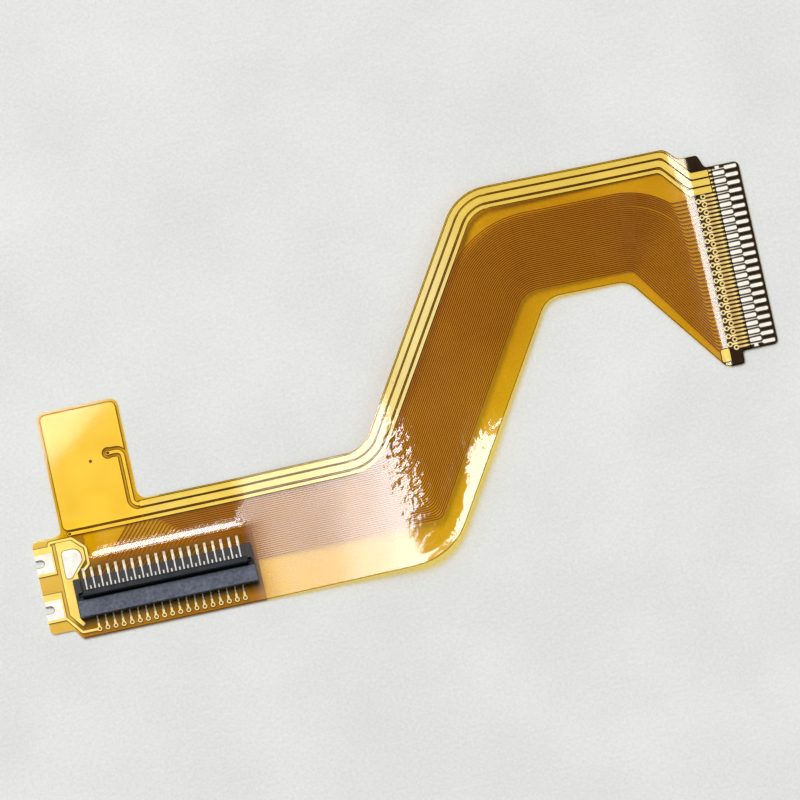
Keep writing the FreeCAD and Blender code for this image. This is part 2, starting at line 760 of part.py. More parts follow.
def pad_copper(pad_y):
    """Copper of an edge pad, a little larger than its opening."""
    pad = flat(box_outline(LEFT_END_X, pad_y - PAD_RIM_BELOW,
                           PAD_COPPER_RIGHT_X, pad_y + PAD_HEIGHT + PAD_RIM_ABOVE))
    return pad.cut(notch(notch_y(pad_y), NOTCH_R))


def edge_copper_high():
    """Upper edge pad and its trace to the first rear contact."""
    x_first = contact_x(0)
    start_x = PAD_COPPER_RIGHT_X - EDGE_TRACE_W
    path = [
        (start_x, HIGH_PAD_Y + PAD_HEIGHT, 0),
        (start_x, EDGE_LANE_Y, EDGE_TRACE_W),
        (x_first - EDGE_LANE_SHORT, EDGE_LANE_Y, EDGE_TRACE_W),
        (x_first + EDGE_LANE_OUT, EDGE_LANE_Y - EDGE_LANE_FALL, EDGE_TRACE_W),
        (x_first + EDGE_LANE_OUT, REAR_PAD_Y1 + EDGE_LANE_ABOVE_PAD, EDGE_TRACE_W),
        (x_first, REAR_PAD_Y1 - EDGE_TRACE_W, 0),
    ]
    half = 0.5 * REAR_PAD_W
    head = flat(box_outline(x_first - half, REAR_PAD_Y0, x_first + half, REAR_PAD_Y1))
    return merged([pad_copper(HIGH_PAD_Y), ribbon(path, EDGE_TRACE_W), head])


def edge_copper_low():
    """Lower edge pad and its trace to the first front contact."""
    x_first = contact_x(1)
    lane_y = LOW_PAD_Y - PAD_RIM_BELOW + 0.5 * EDGE_TRACE_W
    path = [
        (PAD_COPPER_RIGHT_X - EDGE_LOW_START, lane_y, 0),
        (PAD_COPPER_RIGHT_X, lane_y, EDGE_TRACE_W),
        (x_first - EDGE_LOW_BEND, FRONT_VIA_Y, EDGE_TRACE_W),
        (x_first, FRONT_VIA_Y, 0),
    ]
    half = 0.5 * FRONT_PAD_W
    head = flat(box_outline(x_first - half, FRONT_VIA_Y, x_first + half, FRONT_PAD_Y0))
    ring = disc(x_first, FRONT_VIA_Y, RING_R)
    return merged([pad_copper(LOW_PAD_Y), ribbon(path, EDGE_TRACE_W), head, ring])


def strip_sides():
    """Left and right limits of the ground strip's head, and its top."""
    left = PAD_COPPER_RIGHT_X + STRIP_GAP
    right = contact_x(0) + EDGE_LANE_OUT - STRIP_TRACE_GAP
    return left, right, EDGE_LANE_Y - STRIP_TOP_GAP


def strip_copper():
    """Ground copper between the edge pads and the connector."""
    left, right, top = strip_sides()
    inner = CONNECTOR_X - HOUSING_HALF - STRIP_HOUSING_GAP
    neck = contact_x(0) - 0.5 * REAR_PAD_W - 2 * STRIP_TRACE_GAP
    shoulder = HOUSING_REAR_Y + STRIP_SHOULDER_Y
    slope_y = shoulder + STRIP_NECK_RISE
    foot_y = HOUSING_FRONT_Y - STRIP_FOOT_Y
    return flat([
        (left, top, STRIP_R),
        (left, HOUSING_FRONT_Y + STRIP_LEFT_END_Y, STRIP_R),
        (inner + STRIP_FOOT_OUT - STRIP_FOOT_W, foot_y - STRIP_FOOT_DROP, STRIP_SMALL_R),
        (inner + STRIP_FOOT_OUT, foot_y, STRIP_SMALL_R),
        (inner, HOUSING_FRONT_Y + STRIP_RIGHT_END_Y, STRIP_SMALL_R),
        (inner, shoulder, STRIP_SMALL_R),
        (neck, shoulder, STRIP_SMALL_R),
        (neck, slope_y, STRIP_R),
        (right, slope_y + STRIP_SLOPE, STRIP_R),
        (right, top - STRIP_CHAMFER, STRIP_R),
        (right - STRIP_CHAMFER, top, STRIP_R),
    ])


def ground_pad_face():
    """Bare pad on the ground copper, wide on top and narrow below."""
    left, right, top = strip_sides()
    shoulder = HOUSING_REAR_Y + STRIP_SHOULDER_Y
    low_y = shoulder + BARE_BELOW
    bend_y = shoulder + STRIP_NECK_RISE + STRIP_SLOPE
    x0 = left + BARE_SIDE
    x1 = right - BARE_RIGHT
    return flat([
        (x0, top - BARE_TOP, BARE_R), (x0, low_y, BARE_FOOT_R),
        (x0 + BARE_FOOT_W, low_y, BARE_FOOT_R), (x1, bend_y, BARE_R),
        (x1, top - BARE_TOP, 2 * BARE_R),
    ])


def edge_plating(pad_y):
    """Plated finish of an edge pad, with the lining of its notch down to the back."""
    middle = notch_y(pad_y)
    area = flat(box_outline(LEFT_END_X, pad_y, PAD_RIGHT_X, pad_y + PAD_HEIGHT))
    skin = raised(area.cut(notch(middle, NOTCH_R)), Z_TOP_COVER, PLATING_T)
    inner = notch(middle, NOTCH_R - PLATING_T)
    lining = notch(middle, NOTCH_R).cut(inner).common(area)
    lining = raised(lining, 0, Z_TOP_COVER + PLATING_T)
    return skin.fuse(lining).removeSplitter()


def neck_points(x0, x1, x2, y, width):
    """Finger of one row: thin lead from x0, wide part between x1 and x2."""
    half = 0.5 * width
    lead = 0.5 * NECK_W
    swell = 0.5 * LEAD_W
    return [
        (x0, y - swell, 0), (NECK_X - NECK_TAPER, y - swell, NECK_R),
        (NECK_X, y - lead, NECK_R), (x1 - NECK_TAPER, y - lead, NECK_R),
        (x1, y - half, FINGER_R), (x2, y - half, FINGER_R), (x2, y + half, FINGER_R),
        (x1, y + half, FINGER_R), (x1 - NECK_TAPER, y + lead, NECK_R),
        (NECK_X, y + lead, NECK_R), (NECK_X - NECK_TAPER, y + swell, NECK_R),
        (x0, y + swell, 0),
    ]


def edge_mark(row_y, side):
    """Small tab on the lead of the first or last finger, towards the film's edge."""
    y = row_y + side * MARK_OUT
    x0 = INNER_X0 + MARK_BEHIND
    return flat(box_outline(x0, min(row_y, y), x0 + MARK_LENGTH, max(row_y, y)))


def finger(index, x1, x2, width, via_x):
    """One tail finger; those past the power fingers start at a plated hole."""
    row_y = FINGER_TOP_Y - PITCH * index
    if index < 2 * POWER_FINGERS:
        faces = [flat(neck_points(POWER_END_X, x1, x2, row_y, width))]
    else:
        faces = [flat(neck_points(via_x, x1, x2, row_y, width)),
                 disc(via_x, row_y, TAIL_RING_R)]
    if index == 0:
        faces.append(edge_mark(row_y, 1))
    if index == OUTER_FINGERS + INNER_FINGERS - 1:
        faces.append(edge_mark(row_y, -1))
    if len(faces) == 1:
        return faces[0]
    return merged(faces).cut(via_face(via_x, row_y))


def tail_fingers_outer():
    plates = []
    for k in range(OUTER_FINGERS):
        face = finger(2 * k, OUTER_X0, OUTER_X1, OUTER_W, OUTER_VIA_X)
        plates.append(raised(face, Z_TOP_COPPER, COPPER_T))
    return Part.makeCompound(plates)


def tail_fingers_inner():
    plates = []
    for k in range(INNER_FINGERS):
        face = finger(2 * k + 1, INNER_X0, INNER_X1, INNER_W, INNER_VIA_X)
        plates.append(raised(face, Z_TOP_COPPER, COPPER_T))
    return Part.makeCompound(plates)


def rear_pads():
    """Copper strips under the rear contacts, each to its plated hole."""
    plates = []
    half = 0.5 * REAR_PAD_W
    for k in range(1, REAR_CONTACTS):
        x = contact_x(2 * k)
        low_y = signal_start_y(2 * k) if 2 * k >= FIRST_FANNED else REAR_PAD_Y0
        face = flat(box_outline(x - half, low_y, x + half, REAR_PAD_Y1, PAD_CORNER_R))
        if 2 * k >= FIRST_FANNED:
            face = merged([face, disc(x, low_y, REAR_RING_R)]).cut(via_face(x, low_y))
        plates.append(raised(face, Z_TOP_COPPER, COPPER_T))
    return Part.makeCompound(plates)


def front_pads():
    """Copper pads of the front contacts, each with a ring round its plated hole."""
    plates = []
    half = 0.5 * FRONT_PAD_W
    for k in range(1, FRONT_CONTACTS):
        x = contact_x(2 * k + 1)
        strip = flat(box_outline(x - half, FRONT_VIA_Y, x + half, FRONT_PAD_Y0))
        face = merged([strip, disc(x, FRONT_VIA_Y, RING_R)]).cut(via_face(x, FRONT_VIA_Y))
        plates.append(raised(face, Z_TOP_COPPER, COPPER_T))
    return Part.makeCompound(plates)


def locator_face():
    return flat(box_outline(LOCATOR_X, LOCATOR_Y, LOCATOR_X + LOCATOR_W,
                            LOCATOR_Y + LOCATOR_H, LOCATOR_R))


def top_coverlay():
    beyond = LEFT_END_X - NOTCH_R
    openings = [
        flat(box_outline(COVER_END_X, LOW_EAR_Y, TAIL_END_X + TAIL_R, UPPER_HIGH_Y)),
        flat(box_outline(contact_x(0) - WINDOW_SIDE, FRONT_FOOT_Y - WINDOW_FRONT,
                         contact_x(SIGNALS - 1) + WINDOW_SIDE, REAR_PAD_Y1 + WINDOW_REAR)),
        flat(box_outline(beyond, HIGH_PAD_Y, PAD_RIGHT_X, HIGH_PAD_Y + PAD_HEIGHT)),
        flat(box_outline(beyond, LOW_PAD_Y, PAD_RIGHT_X, LOW_PAD_Y + PAD_HEIGHT)),
        locator_face(),
        ground_pad_face(),
    ]
    return laid(film_face().cut(Part.makeCompound(openings)), Z_TOP_COVER, COVERLAY_T)


def connector_stiffener():
    """Sheet below the connector and the whole of the left ears."""
    beyond = LEFT_END_X - NOTCH_R
    low = flat(box_outline(beyond, RUN_LOW_Y, STIFFENER_RIGHT_X, REAR_PAD_Y1 + STIFFENER_BEHIND))
    step = flat(box_outline(beyond, EAR_LOW_Y, contact_x(0) + EDGE_LANE_OUT,
                            EAR_HIGH_Y - STIFFENER_STEP_GAP))
    return raised(film_face().common(merged([low, step])), 0, STIFFENER_T)


def tail_stiffener():
    area = flat(box_outline(TAIL_END_X - TAIL_STIFFENER, LOW_EAR_Y, TAIL_END_X, UPPER_HIGH_Y))
    return raised(film_face().common(area), 0, STIFFENER_T)


def comb_ribs():
    """Walls between the contacts behind the lock bar."""
    ribs = []
    half = 0.5 * CONTACT_W + SIDE_PLAY
    inner = HOUSING_HALF - END_WALL
    lefts = [CONNECTOR_X - inner] + [contact_x(i) + half for i in range(SIGNALS)]
    rights = [contact_x(i) - half for i in range(SIGNALS)] + [CONNECTOR_X + inner]
    for x0, x1 in zip(lefts, rights):
        ribs.append(block(x0, x1, COMB_Y, HOUSING_REAR_Y, CONTACT_Z0, COMB_TOP_Z))
    for k in range(FRONT_CONTACTS):
        x = contact_x(2 * k + 1)
        ribs.append(block(x - half, x + half, FRONT_END_Y + SIDE_PLAY, HOUSING_REAR_Y,
                          CONTACT_Z0, COMB_TOP_Z))
    return ribs


def end_wall(side):
    """End wall with the lock bar's pivot groove and the hold-down slot."""
    inner = CONNECTOR_X + side * (HOUSING_HALF - END_WALL)
    outer = CONNECTOR_X + side * HOUSING_HALF
    x0, x1 = min(inner, outer), max(inner, outer)
    wall = block(x0, x1, HOUSING_FRONT_Y, HOUSING_REAR_Y, Z_FILM_TOP, HOUSING_TOP_Z)
    lowered = block(x0, x1, COMB_Y, HOUSING_REAR_Y, WALL_REAR_TOP_Z, HOUSING_TOP_Z)
    reach = inner + side * (PIN_LENGTH - BAR_CLEAR + PIN_CLEAR)
    g0, g1 = min(inner, reach), max(inner, reach)
    groove_r = PIN_R + PIN_CLEAR
    groove = block(g0, g1, PIVOT_Y - groove_r, PIVOT_Y + groove_r, PIVOT_Z, HOUSING_TOP_Z)
    seat = Part.makeCylinder(groove_r, g1 - g0, V(g0, PIVOT_Y, PIVOT_Z), V(1, 0, 0))
    return wall.cut(lowered).cut(groove).cut(seat).cut(hold_down(side))


def hold_down(side):
    """Upright metal plate in an end wall."""
    near = CONNECTOR_X + side * (HOUSING_HALF - HOLD_IN)
    far = near - side * HOLD_T
    top = WALL_REAR_TOP_Z - HOLD_BELOW_TOP
    y0 = COMB_Y + HOLD_BEHIND
    return block(min(near, far), max(near, far), y0, y0 + HOLD_LENGTH, Z_FILM_TOP, top)


def connector_housing():
    x0 = CONNECTOR_X - HOUSING_HALF
    x1 = CONNECTOR_X + HOUSING_HALF
    floor = block(x0, x1, HOUSING_FRONT_Y, HOUSING_REAR_Y, Z_FILM_TOP, CONTACT_Z0)
    floor = floor.cut(hold_down(-1)).cut(hold_down(1))
    roof = block(x0, x1, HOUSING_FRONT_Y, ROOF_REAR_Y, ROOF_LOW_Z, HOUSING_TOP_Z)
    pieces = [roof, end_wall(-1), end_wall(1)] + comb_ribs()
    return floor.multiFuse(pieces).removeSplitter()


def lock_bar():
    """Lever plate standing open, rounded round its pivot, with a pin at each end."""
    half_x = HOUSING_HALF - END_WALL - BAR_CLEAR
    x0 = CONNECTOR_X - half_x
    half_t = 0.5 * BAR_T
    top = PIVOT_Z + BAR_REACH
    plate = side_profile([
        (PIVOT_Y - half_t, PIVOT_Z), (PIVOT_Y + half_t, PIVOT_Z),
        (PIVOT_Y + half_t, top - BAR_BEVEL), (PIVOT_Y + half_t - BAR_BEVEL, top),
        (PIVOT_Y - half_t, top),
    ], x0, 2 * half_x)
    hub = Part.makeCylinder(half_t, 2 * half_x, V(x0, PIVOT_Y, PIVOT_Z), V(1, 0, 0))
    pins = Part.makeCylinder(PIN_R, 2 * (half_x + PIN_LENGTH),
                             V(x0 - PIN_LENGTH, PIVOT_Y, PIVOT_Z), V(1, 0, 0))
    return plate.multiFuse([hub, pins]).removeSplitter()


def rear_contact(x):
    foot_top = Z_TOP_COVER + FOOT_T
    return side_profile([
        (CONTACT_TIP_Y, CONTACT_Z0), (REAR_BEND_Y - FOOT_T, CONTACT_Z0),
        (REAR_BEND_Y - FOOT_T, Z_TOP_COVER), (REAR_FOOT_Y, Z_TOP_COVER),
        (REAR_FOOT_Y, foot_top), (REAR_BEND_Y, foot_top),
        (REAR_BEND_Y, CONTACT_Z1), (CONTACT_TIP_Y, CONTACT_Z1),
    ], x - 0.5 * CONTACT_W, CONTACT_W)


def front_contact(x):
    foot_top = Z_TOP_COVER + FOOT_T
    return side_profile([
        (FRONT_END_Y, CONTACT_Z0), (FRONT_END_Y, CONTACT_Z1),
        (FRONT_BEND_Y, CONTACT_Z1), (FRONT_BEND_Y, foot_top),
        (FRONT_FOOT_Y, foot_top), (FRONT_FOOT_Y, Z_TOP_COVER),
        (FRONT_BEND_Y + FOOT_T, Z_TOP_COVER), (FRONT_BEND_Y + FOOT_T, CONTACT_Z0),
    ], x - 0.5 * CONTACT_W, CONTACT_W)


def rear_contacts():
    return Part.makeCompound([rear_contact(contact_x(2 * k)) for k in range(REAR_CONTACTS)])


def front_contacts():
    return Part.makeCompound([front_contact(contact_x(2 * k + 1)) for k in range(FRONT_CONTACTS)])


def solder_joint(x, y_foot, y_pad, width):
    """Wedge of solder from a contact's foot out over its pad."""
    return side_profile([
        (y_foot, Z_TOP_COVER), (y_pad, Z_TOP_COVER), (y_foot, Z_TOP_COVER + SOLDER_H),
    ], x - 0.5 * width, width)


def rear_solder():
    joints = []
    for k in range(REAR_CONTACTS):
        x = contact_x(2 * k)
        joints.append(solder_joint(x, REAR_FOOT_Y, REAR_PAD_Y1, REAR_SOLDER_W))
    return Part.makeCompound(joints)


def front_solder():
    joints = []
    for k in range(FRONT_CONTACTS):
        x = contact_x(2 * k + 1)
        joints.append(solder_joint(x, FRONT_FOOT_Y, FRONT_FOOT_Y - WINDOW_FRONT, FRONT_SOLDER_W))
    return Part.makeCompound(joints)


def top_copper(face):
    return raised(face, Z_TOP_COPPER, COPPER_T)


def laid_copper(face):
    return laid(face, Z_TOP_COPPER, COPPER_T)


def save(shape, name):
    placed = shape.copy()
    placed.translate(MID * -1)
    placed.exportStep("parts/" + name + ".step")


holes = connector_vias() + tail_vias() + plane_vias()
ground_pad = raised(ground_pad_face(), Z_TOP_COVER, PLATING_T)

save(laid(drilled(film_face(), holes), Z_BASE, BASE_T), "base_film")
save(laid(film_face(), Z_COVER, COVERLAY_T), "bottom_coverlay")
save(top_coverlay(), "top_coverlay")
save(signal_traces(), "signal_traces")
save(laid_copper(drilled(wide_trace_outer(), plane_vias())), "wide_trace_outer")
save(laid_copper(drilled(ground_plane(), plane_vias())), "ground_plane")
save(laid_copper(drilled(wide_trace_inner(), plane_vias())), "wide_trace_inner")
save(top_copper(edge_copper_high()), "edge_copper_high")
save(top_copper(drilled(edge_copper_low(), connector_vias())), "edge_copper_low")
save(top_copper(strip_copper()), "strip_copper")
save(ground_pad, "ground_pad_plating")
save(edge_plating(HIGH_PAD_Y), "edge_plating_high")
save(edge_plating(LOW_PAD_Y), "edge_plating_low")
save(tail_fingers_outer(), "tail_fingers_outer")
save(tail_fingers_inner(), "tail_fingers_inner")
save(top_copper(locator_face()), "locator_pad")
save(rear_pads(), "rear_pads")
save(front_pads(), "front_pads")
save(barrels(connector_vias()), "connector_vias")
save(barrels(tail_vias()), "tail_vias")
save(barrels(plane_vias()), "plane_vias")
save(connector_stiffener(), "connector_stiffener")
save(tail_stiffener(), "tail_stiffener")
save(connector_housing(), "connector_housing")
save(lock_bar(), "lock_bar")
save(hold_down(-1), "hold_down_left")
save(hold_down(1), "hold_down_right")
save(rear_contacts(), "rear_contacts")
save(front_contacts(), "front_contacts")
save(rear_solder(), "rear_solder")
save(front_solder(), "front_solder")
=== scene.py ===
import math

import bmesh
import bpy
import numpy as np
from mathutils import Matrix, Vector


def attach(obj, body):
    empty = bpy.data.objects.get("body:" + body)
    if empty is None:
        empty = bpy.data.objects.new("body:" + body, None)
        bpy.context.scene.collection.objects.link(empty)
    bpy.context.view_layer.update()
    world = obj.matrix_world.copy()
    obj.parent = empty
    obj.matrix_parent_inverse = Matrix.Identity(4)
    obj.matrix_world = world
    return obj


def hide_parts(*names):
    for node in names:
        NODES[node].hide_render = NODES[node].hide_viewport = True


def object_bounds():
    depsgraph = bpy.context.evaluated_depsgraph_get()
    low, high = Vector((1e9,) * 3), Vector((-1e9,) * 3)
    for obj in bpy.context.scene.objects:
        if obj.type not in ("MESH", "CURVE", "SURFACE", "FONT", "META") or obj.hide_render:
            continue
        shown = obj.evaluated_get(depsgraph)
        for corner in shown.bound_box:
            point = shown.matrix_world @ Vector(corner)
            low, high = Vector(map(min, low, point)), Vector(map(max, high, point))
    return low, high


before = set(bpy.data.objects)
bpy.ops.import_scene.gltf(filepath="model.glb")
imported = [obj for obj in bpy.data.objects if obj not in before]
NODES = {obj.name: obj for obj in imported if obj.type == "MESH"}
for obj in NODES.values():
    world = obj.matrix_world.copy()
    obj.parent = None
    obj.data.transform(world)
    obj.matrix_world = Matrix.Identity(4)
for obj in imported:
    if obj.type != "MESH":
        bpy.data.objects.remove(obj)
CAD_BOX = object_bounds()

# The lengths below are millimetres in the drawing frame of the cable, whose zero is
# near the middle of the connector. The scene's own zero lies at MID_X, MID_Y there.
MM = 0.001
MID_X, MID_Y = 19.35, 10.85

# Direction of the photograph: right, up the picture, and towards the camera
TURN = math.radians(12.2)
ELEVATION = math.radians(80.0)
RIGHT = Vector((math.cos(TURN), -math.sin(TURN), 0.0))
UP = Vector((math.sin(TURN), math.cos(TURN), 0.0))
TO_CAMERA = -UP * math.cos(ELEVATION) + Vector((0, 0, math.sin(ELEVATION)))
TARGET = Vector((0.29, -0.89, 0.3)) * MM
FRAME_WIDTH = 58.18 * MM
CAMERA_DISTANCE = 1.2
SENSOR_WIDTH = 36.0
CLIP_NEAR, CLIP_FAR = 0.01, 20.0

# Sizes of the film's lift

REAR_END = 3.25          # rear edge of the sheet below the connector
EARS_RIGHT = -5.0        # the part of it below the left ears reaches further back
EARS_REAR = 5.22
DIP = 0.088              # step of the free film below the film on the rear sheet
DIP_LENGTH = 0.7         # and its length, which grows beyond the sheet's right end
DIP_FAN_X = 6.5
DIP_FAN = 2.5            # by this much for each millimetre
DIP_FADE = (6.9, 9.3)    # beyond the connector the step fades out
TAIL_START = 43.85       # start of the dark sheet below the tail
TAIL_SINK = (30.0, 38.0)     # the film sinks towards it between these places
# length and height of the film's step onto it, for places along the step
TAIL_STEP_Y = np.array([9.0, 17.0, 20.4, 23.0])
TAIL_STEP = np.array([0.5, 0.62, 0.7, 1.5])
TAIL_DIP = np.array([0.06, 0.075, 0.085, 0.105])
# where the slope of the lifted film changes in the solids, and its height there
KNOT_X = np.array([-30.0, 7.5, 13.65, 19.8, 25.4, 36.6, 42.2, 70.0])
KNOT_Z = np.array([0.0, 0.0, 0.32, 0.78, 0.66, 0.12, 0.0, 0.0])
# the same for the film shown, which leaves the sheet below the connector sooner
SHOWN_X = np.array([-30.0, 7.4, 9.9, 13.65, 19.8, 25.4, 36.6, 42.2, 70.0])
SHOWN_Z = np.array([0.0, 0.0, 0.16, 0.36, 0.8, 0.67, 0.12, 0.0, 0.0])
SOFTEN = 1.1             # half of the length over which each change is rounded
# how far left of its straight place the crest of the lift lies, for places along it
CREST_Y = np.array([-2.5, 0.5, 3.2, 5.2, 9.5, 14.0])
CREST_SHIFT = np.array([0.75, 0.7, 0.2, 0.5, 1.2, 1.2])
CREST_RISE = (13.0, 18.0)    # the shift sets in and fades out between these places
CREST_FADE = (22.0, 28.0)
BEND_LOW_Y = -2.35       # lower edge of the bend, its slanted side and their rounding
BEND_SIDE_X = 20.896
BEND_ANGLE = math.radians(58.3)
BEND_R = 4.8
# how far in from its edge the film curls up at the lower bend, for places along it
EDGE_CURL_Y = np.array([-2.5, 1.0, 2.6, 4.6, 6.0, 7.2, 8.4])
EDGE_CURL_REACH = np.array([0.8, 0.7, 1.1, 1.9, 1.7, 1.2, 0.9])
EDGE_SLOPE = 0.22
EDGE_CURL_RISE = (17.3, 20.1)    # the curl sets in between these, ends at the next
EDGE_CURL_END = 30.0
EDGE_CURL_FADE = (7.9, 5.7)      # and fades out upwards from the lower of these places
# the ground tab's upper left corner droops beyond a slanted line, which runs through
# this place and lies square to this direction
TAB_FOLD = (-3.4, 11.6)
TAB_LEAN = (-0.6, 0.8)
TAB_DROOP = 0.0052
TAB_RIGHT = 0.0
CLEAR = 0.0015           # room left between films and copper, so that faces don't meet


def smooth(t):
    """Smooth change from 0 to 1 with t."""
    t = np.clip(t, 0.0, 1.0)
    return t * t * (3.0 - 2.0 * t)


def ramp(value, start, end):
    """Smooth change from 0 at start to 1 at end, which may lie on either side."""
    return smooth((value - start) / (end - start))


def off_rear_sheet(x, y):
    """Distance behind the sheet below the connector, with its part below the ears."""
    ears = np.hypot(np.maximum(x - EARS_RIGHT, 0.0), np.maximum(y - EARS_REAR, 0.0))
    return np.minimum(np.maximum(y - REAR_END, 0.0), ears)


def edge_distance(x, y):
    """Distance in from the outer edge of the lower bend, which runs along two lines."""
    low = y - BEND_LOW_Y
    side = (BEND_SIDE_X - x + low / math.tan(BEND_ANGLE)) * math.sin(BEND_ANGLE)
    t_low = BEND_R - low
    t_side = BEND_R - side
    turn = math.pi - BEND_ANGLE
    # components along the two edges from the centre of the rounded corner
    along = (t_side + t_low * math.cos(turn)) / math.sin(turn)
    back = (t_low + t_side * math.cos(turn)) / math.sin(turn)
    in_corner = (along > 0) & (back > 0)
    radial = np.sqrt(np.maximum(t_low ** 2 + t_side ** 2 + 2 * t_low * t_side
                                * math.cos(turn), 0.0)) / math.sin(turn)
    return np.where(in_corner, BEND_R - radial, np.minimum(low, side))


def run_sum(x):
    """Area below the lift line of the film shown, from its left end to x."""
    parts = 0.5 * (SHOWN_Z[1:] + SHOWN_Z[:-1]) * np.diff(SHOWN_X)
    whole = np.concatenate([[0.0], np.cumsum(parts)])
    i = np.clip(np.searchsorted(SHOWN_X, x, side="right") - 1, 0, len(SHOWN_X) - 2)
    slope = (SHOWN_Z[i + 1] - SHOWN_Z[i]) / (SHOWN_X[i + 1] - SHOWN_X[i])
    t = x - SHOWN_X[i]
    return whole[i] + SHOWN_Z[i] * t + 0.5 * slope * t * t


def rear_step(x, y):
    """Step of the free film down from the film on the rear sheet."""
    length = DIP_LENGTH + DIP_FAN * np.maximum(x - DIP_FAN_X, 0.0)
    return -DIP * smooth(off_rear_sheet(x, y) / length) * (1.0 - ramp(x, *DIP_FADE))


def tail_step(x, y):
    """Dip of the film before it steps onto the dark sheet of the tail."""
    length = np.interp(y, TAIL_STEP_Y, TAIL_STEP)
    dip = np.interp(y, TAIL_STEP_Y, TAIL_DIP)
    return -dip * ramp(x, *TAIL_SINK) * smooth((TAIL_START - x) / length)


def bow(x, y):
    """Height of the rounded lift line, with its crest moved left by place."""
    shift = np.interp(y, CREST_Y, CREST_SHIFT) * ramp(x, *CREST_RISE)
    moved = x + shift * (1.0 - ramp(x, *CREST_FADE))
    return (run_sum(moved + SOFTEN) - run_sum(moved - SOFTEN)) / (2.0 * SOFTEN)


def edge_curl(x, y):
    """Rise of the film towards its outer edge at the lower bend."""
    reach = np.interp(y, EDGE_CURL_Y, EDGE_CURL_REACH)
    zone = ramp(x, *EDGE_CURL_RISE) * ramp(y, *EDGE_CURL_FADE) * (x < EDGE_CURL_END)
    inside = np.maximum(reach - edge_distance(x, y), 0.0)
    return 0.5 * EDGE_SLOPE / reach * inside ** 2 * zone


def tab_droop(x, y):
    """Droop of the ground tab's upper left corner."""
    beyond = (x - TAB_FOLD[0]) * TAB_LEAN[0] + (y - TAB_FOLD[1]) * TAB_LEAN[1]
    return -TAB_DROOP * np.maximum(beyond, 0.0) ** 2 * (x < TAB_RIGHT)


def lift(x, y):
    """Height that the free film gains or loses at a place of the drawing frame."""
    return rear_step(x, y) + tail_step(x, y) + bow(x, y) + edge_curl(x, y) + tab_droop(x, y)


def lift_slope(x, y):
    """Slopes of the lift along x and along y."""
    step = 0.002
    sx = (lift(x + step, y) - lift(x - step, y)) / (2 * step)
    sy = (lift(x, y + step) - lift(x, y - step)) / (2 * step)
    return sx, sy


# Copies of the flat pieces, cut and set on the lift

def places(*bands):
    """Sorted places of cuts, from bands that are given as start, end and spacing."""
    return sorted({round(v, 3) for band in bands for v in np.arange(*band)})


CUTS_X = places((-8.0, 0.0, 0.5), (0.0, 44.0, 1.0), (7.1, 8.7, 0.16), (20.5, 26.1, 0.5),
                (41.9, 43.0, 0.15), (43.0, 43.9, 0.125))
CUTS_Y = places((-2.0, 24.0, 1.0), (-1.5, 6.0, 1.0), (11.5, 15.0, 1.0),
                (REAR_END, 4.05, 0.1), (EARS_REAR, 6.0, 0.1))
# the top cover is cut more finely at the lower bend
FINE_X = places((16.9, 26.6, 0.25))
FINE_Y = places((-2.4, 9.1, 0.25))
SAME_PLACE = 2e-8        # vertices within this many metres of each other are one
ON_PLANE = 1e-8          # and within this of a cutting plane they lie on it
LEVEL = 0.9              # least height of a unit normal on a level face


def drawn_place(point):
    """Place of a point of the scene in the drawing frame, seen from above."""
    return point[0] / MM + MID_X, point[1] / MM + MID_Y


def cut(bm, faces, value, axis):
    """Splits faces along a plane across one axis, at a place of the drawing frame."""
    co = Vector((0, 0, 0))
    co[axis] = (value - (MID_X, MID_Y)[axis]) * MM
    no = Vector((0, 0, 0))
    no[axis] = 1.0
    edges = list({e for f in faces for e in f.edges})
    verts = list({v for f in faces for v in f.verts})
    bmesh.ops.bisect_plane(bm, geom=verts + edges + list(faces), dist=ON_PLANE,
                           plane_co=co, plane_no=no)


def in_fine_area(face):
    """Whether a face's middle lies where the top cover is cut more finely."""
    x, y = drawn_place(face.calc_center_median())
    return FINE_X[0] < x < FINE_X[-1] and FINE_Y[0] < y < FINE_Y[-1]


def cut_mesh(node, name):
    """Copy of a flat node's mesh, cut into bands."""
    bm = bmesh.new()
    bm.from_mesh(NODES[node].data)
    bmesh.ops.remove_doubles(bm, verts=bm.verts, dist=SAME_PLACE)
    corners = [drawn_place(v.co) for v in bm.verts]
    for axis, cuts in enumerate((CUTS_X, CUTS_Y)):
        low = min(corner[axis] for corner in corners)
        high = max(corner[axis] for corner in corners)
        for value in cuts:
            if low < value < high:
                cut(bm, bm.faces[:], value, axis)
    if node == "top_coverlay":
        for axis, cuts in enumerate((FINE_X, FINE_Y)):
            for value in cuts:
                cut(bm, [f for f in bm.faces if in_fine_area(f)], value, axis)
    bmesh.ops.triangulate(bm, faces=[f for f in bm.faces if len(f.verts) > 4])
    mesh = bpy.data.meshes.new(name)
    bm.to_mesh(mesh)
    bm.free()
    if "custom_normal" in mesh.attributes:
        mesh.attributes.remove(mesh.attributes["custom_normal"])
    return mesh


def read_all(collection, field, width, kind=float):
    """One field of all the members of a collection, as rows of this width."""
    out = np.empty(len(collection) * width, dtype=kind)
    collection.foreach_get(field, out)
    return out.reshape(-1, width)


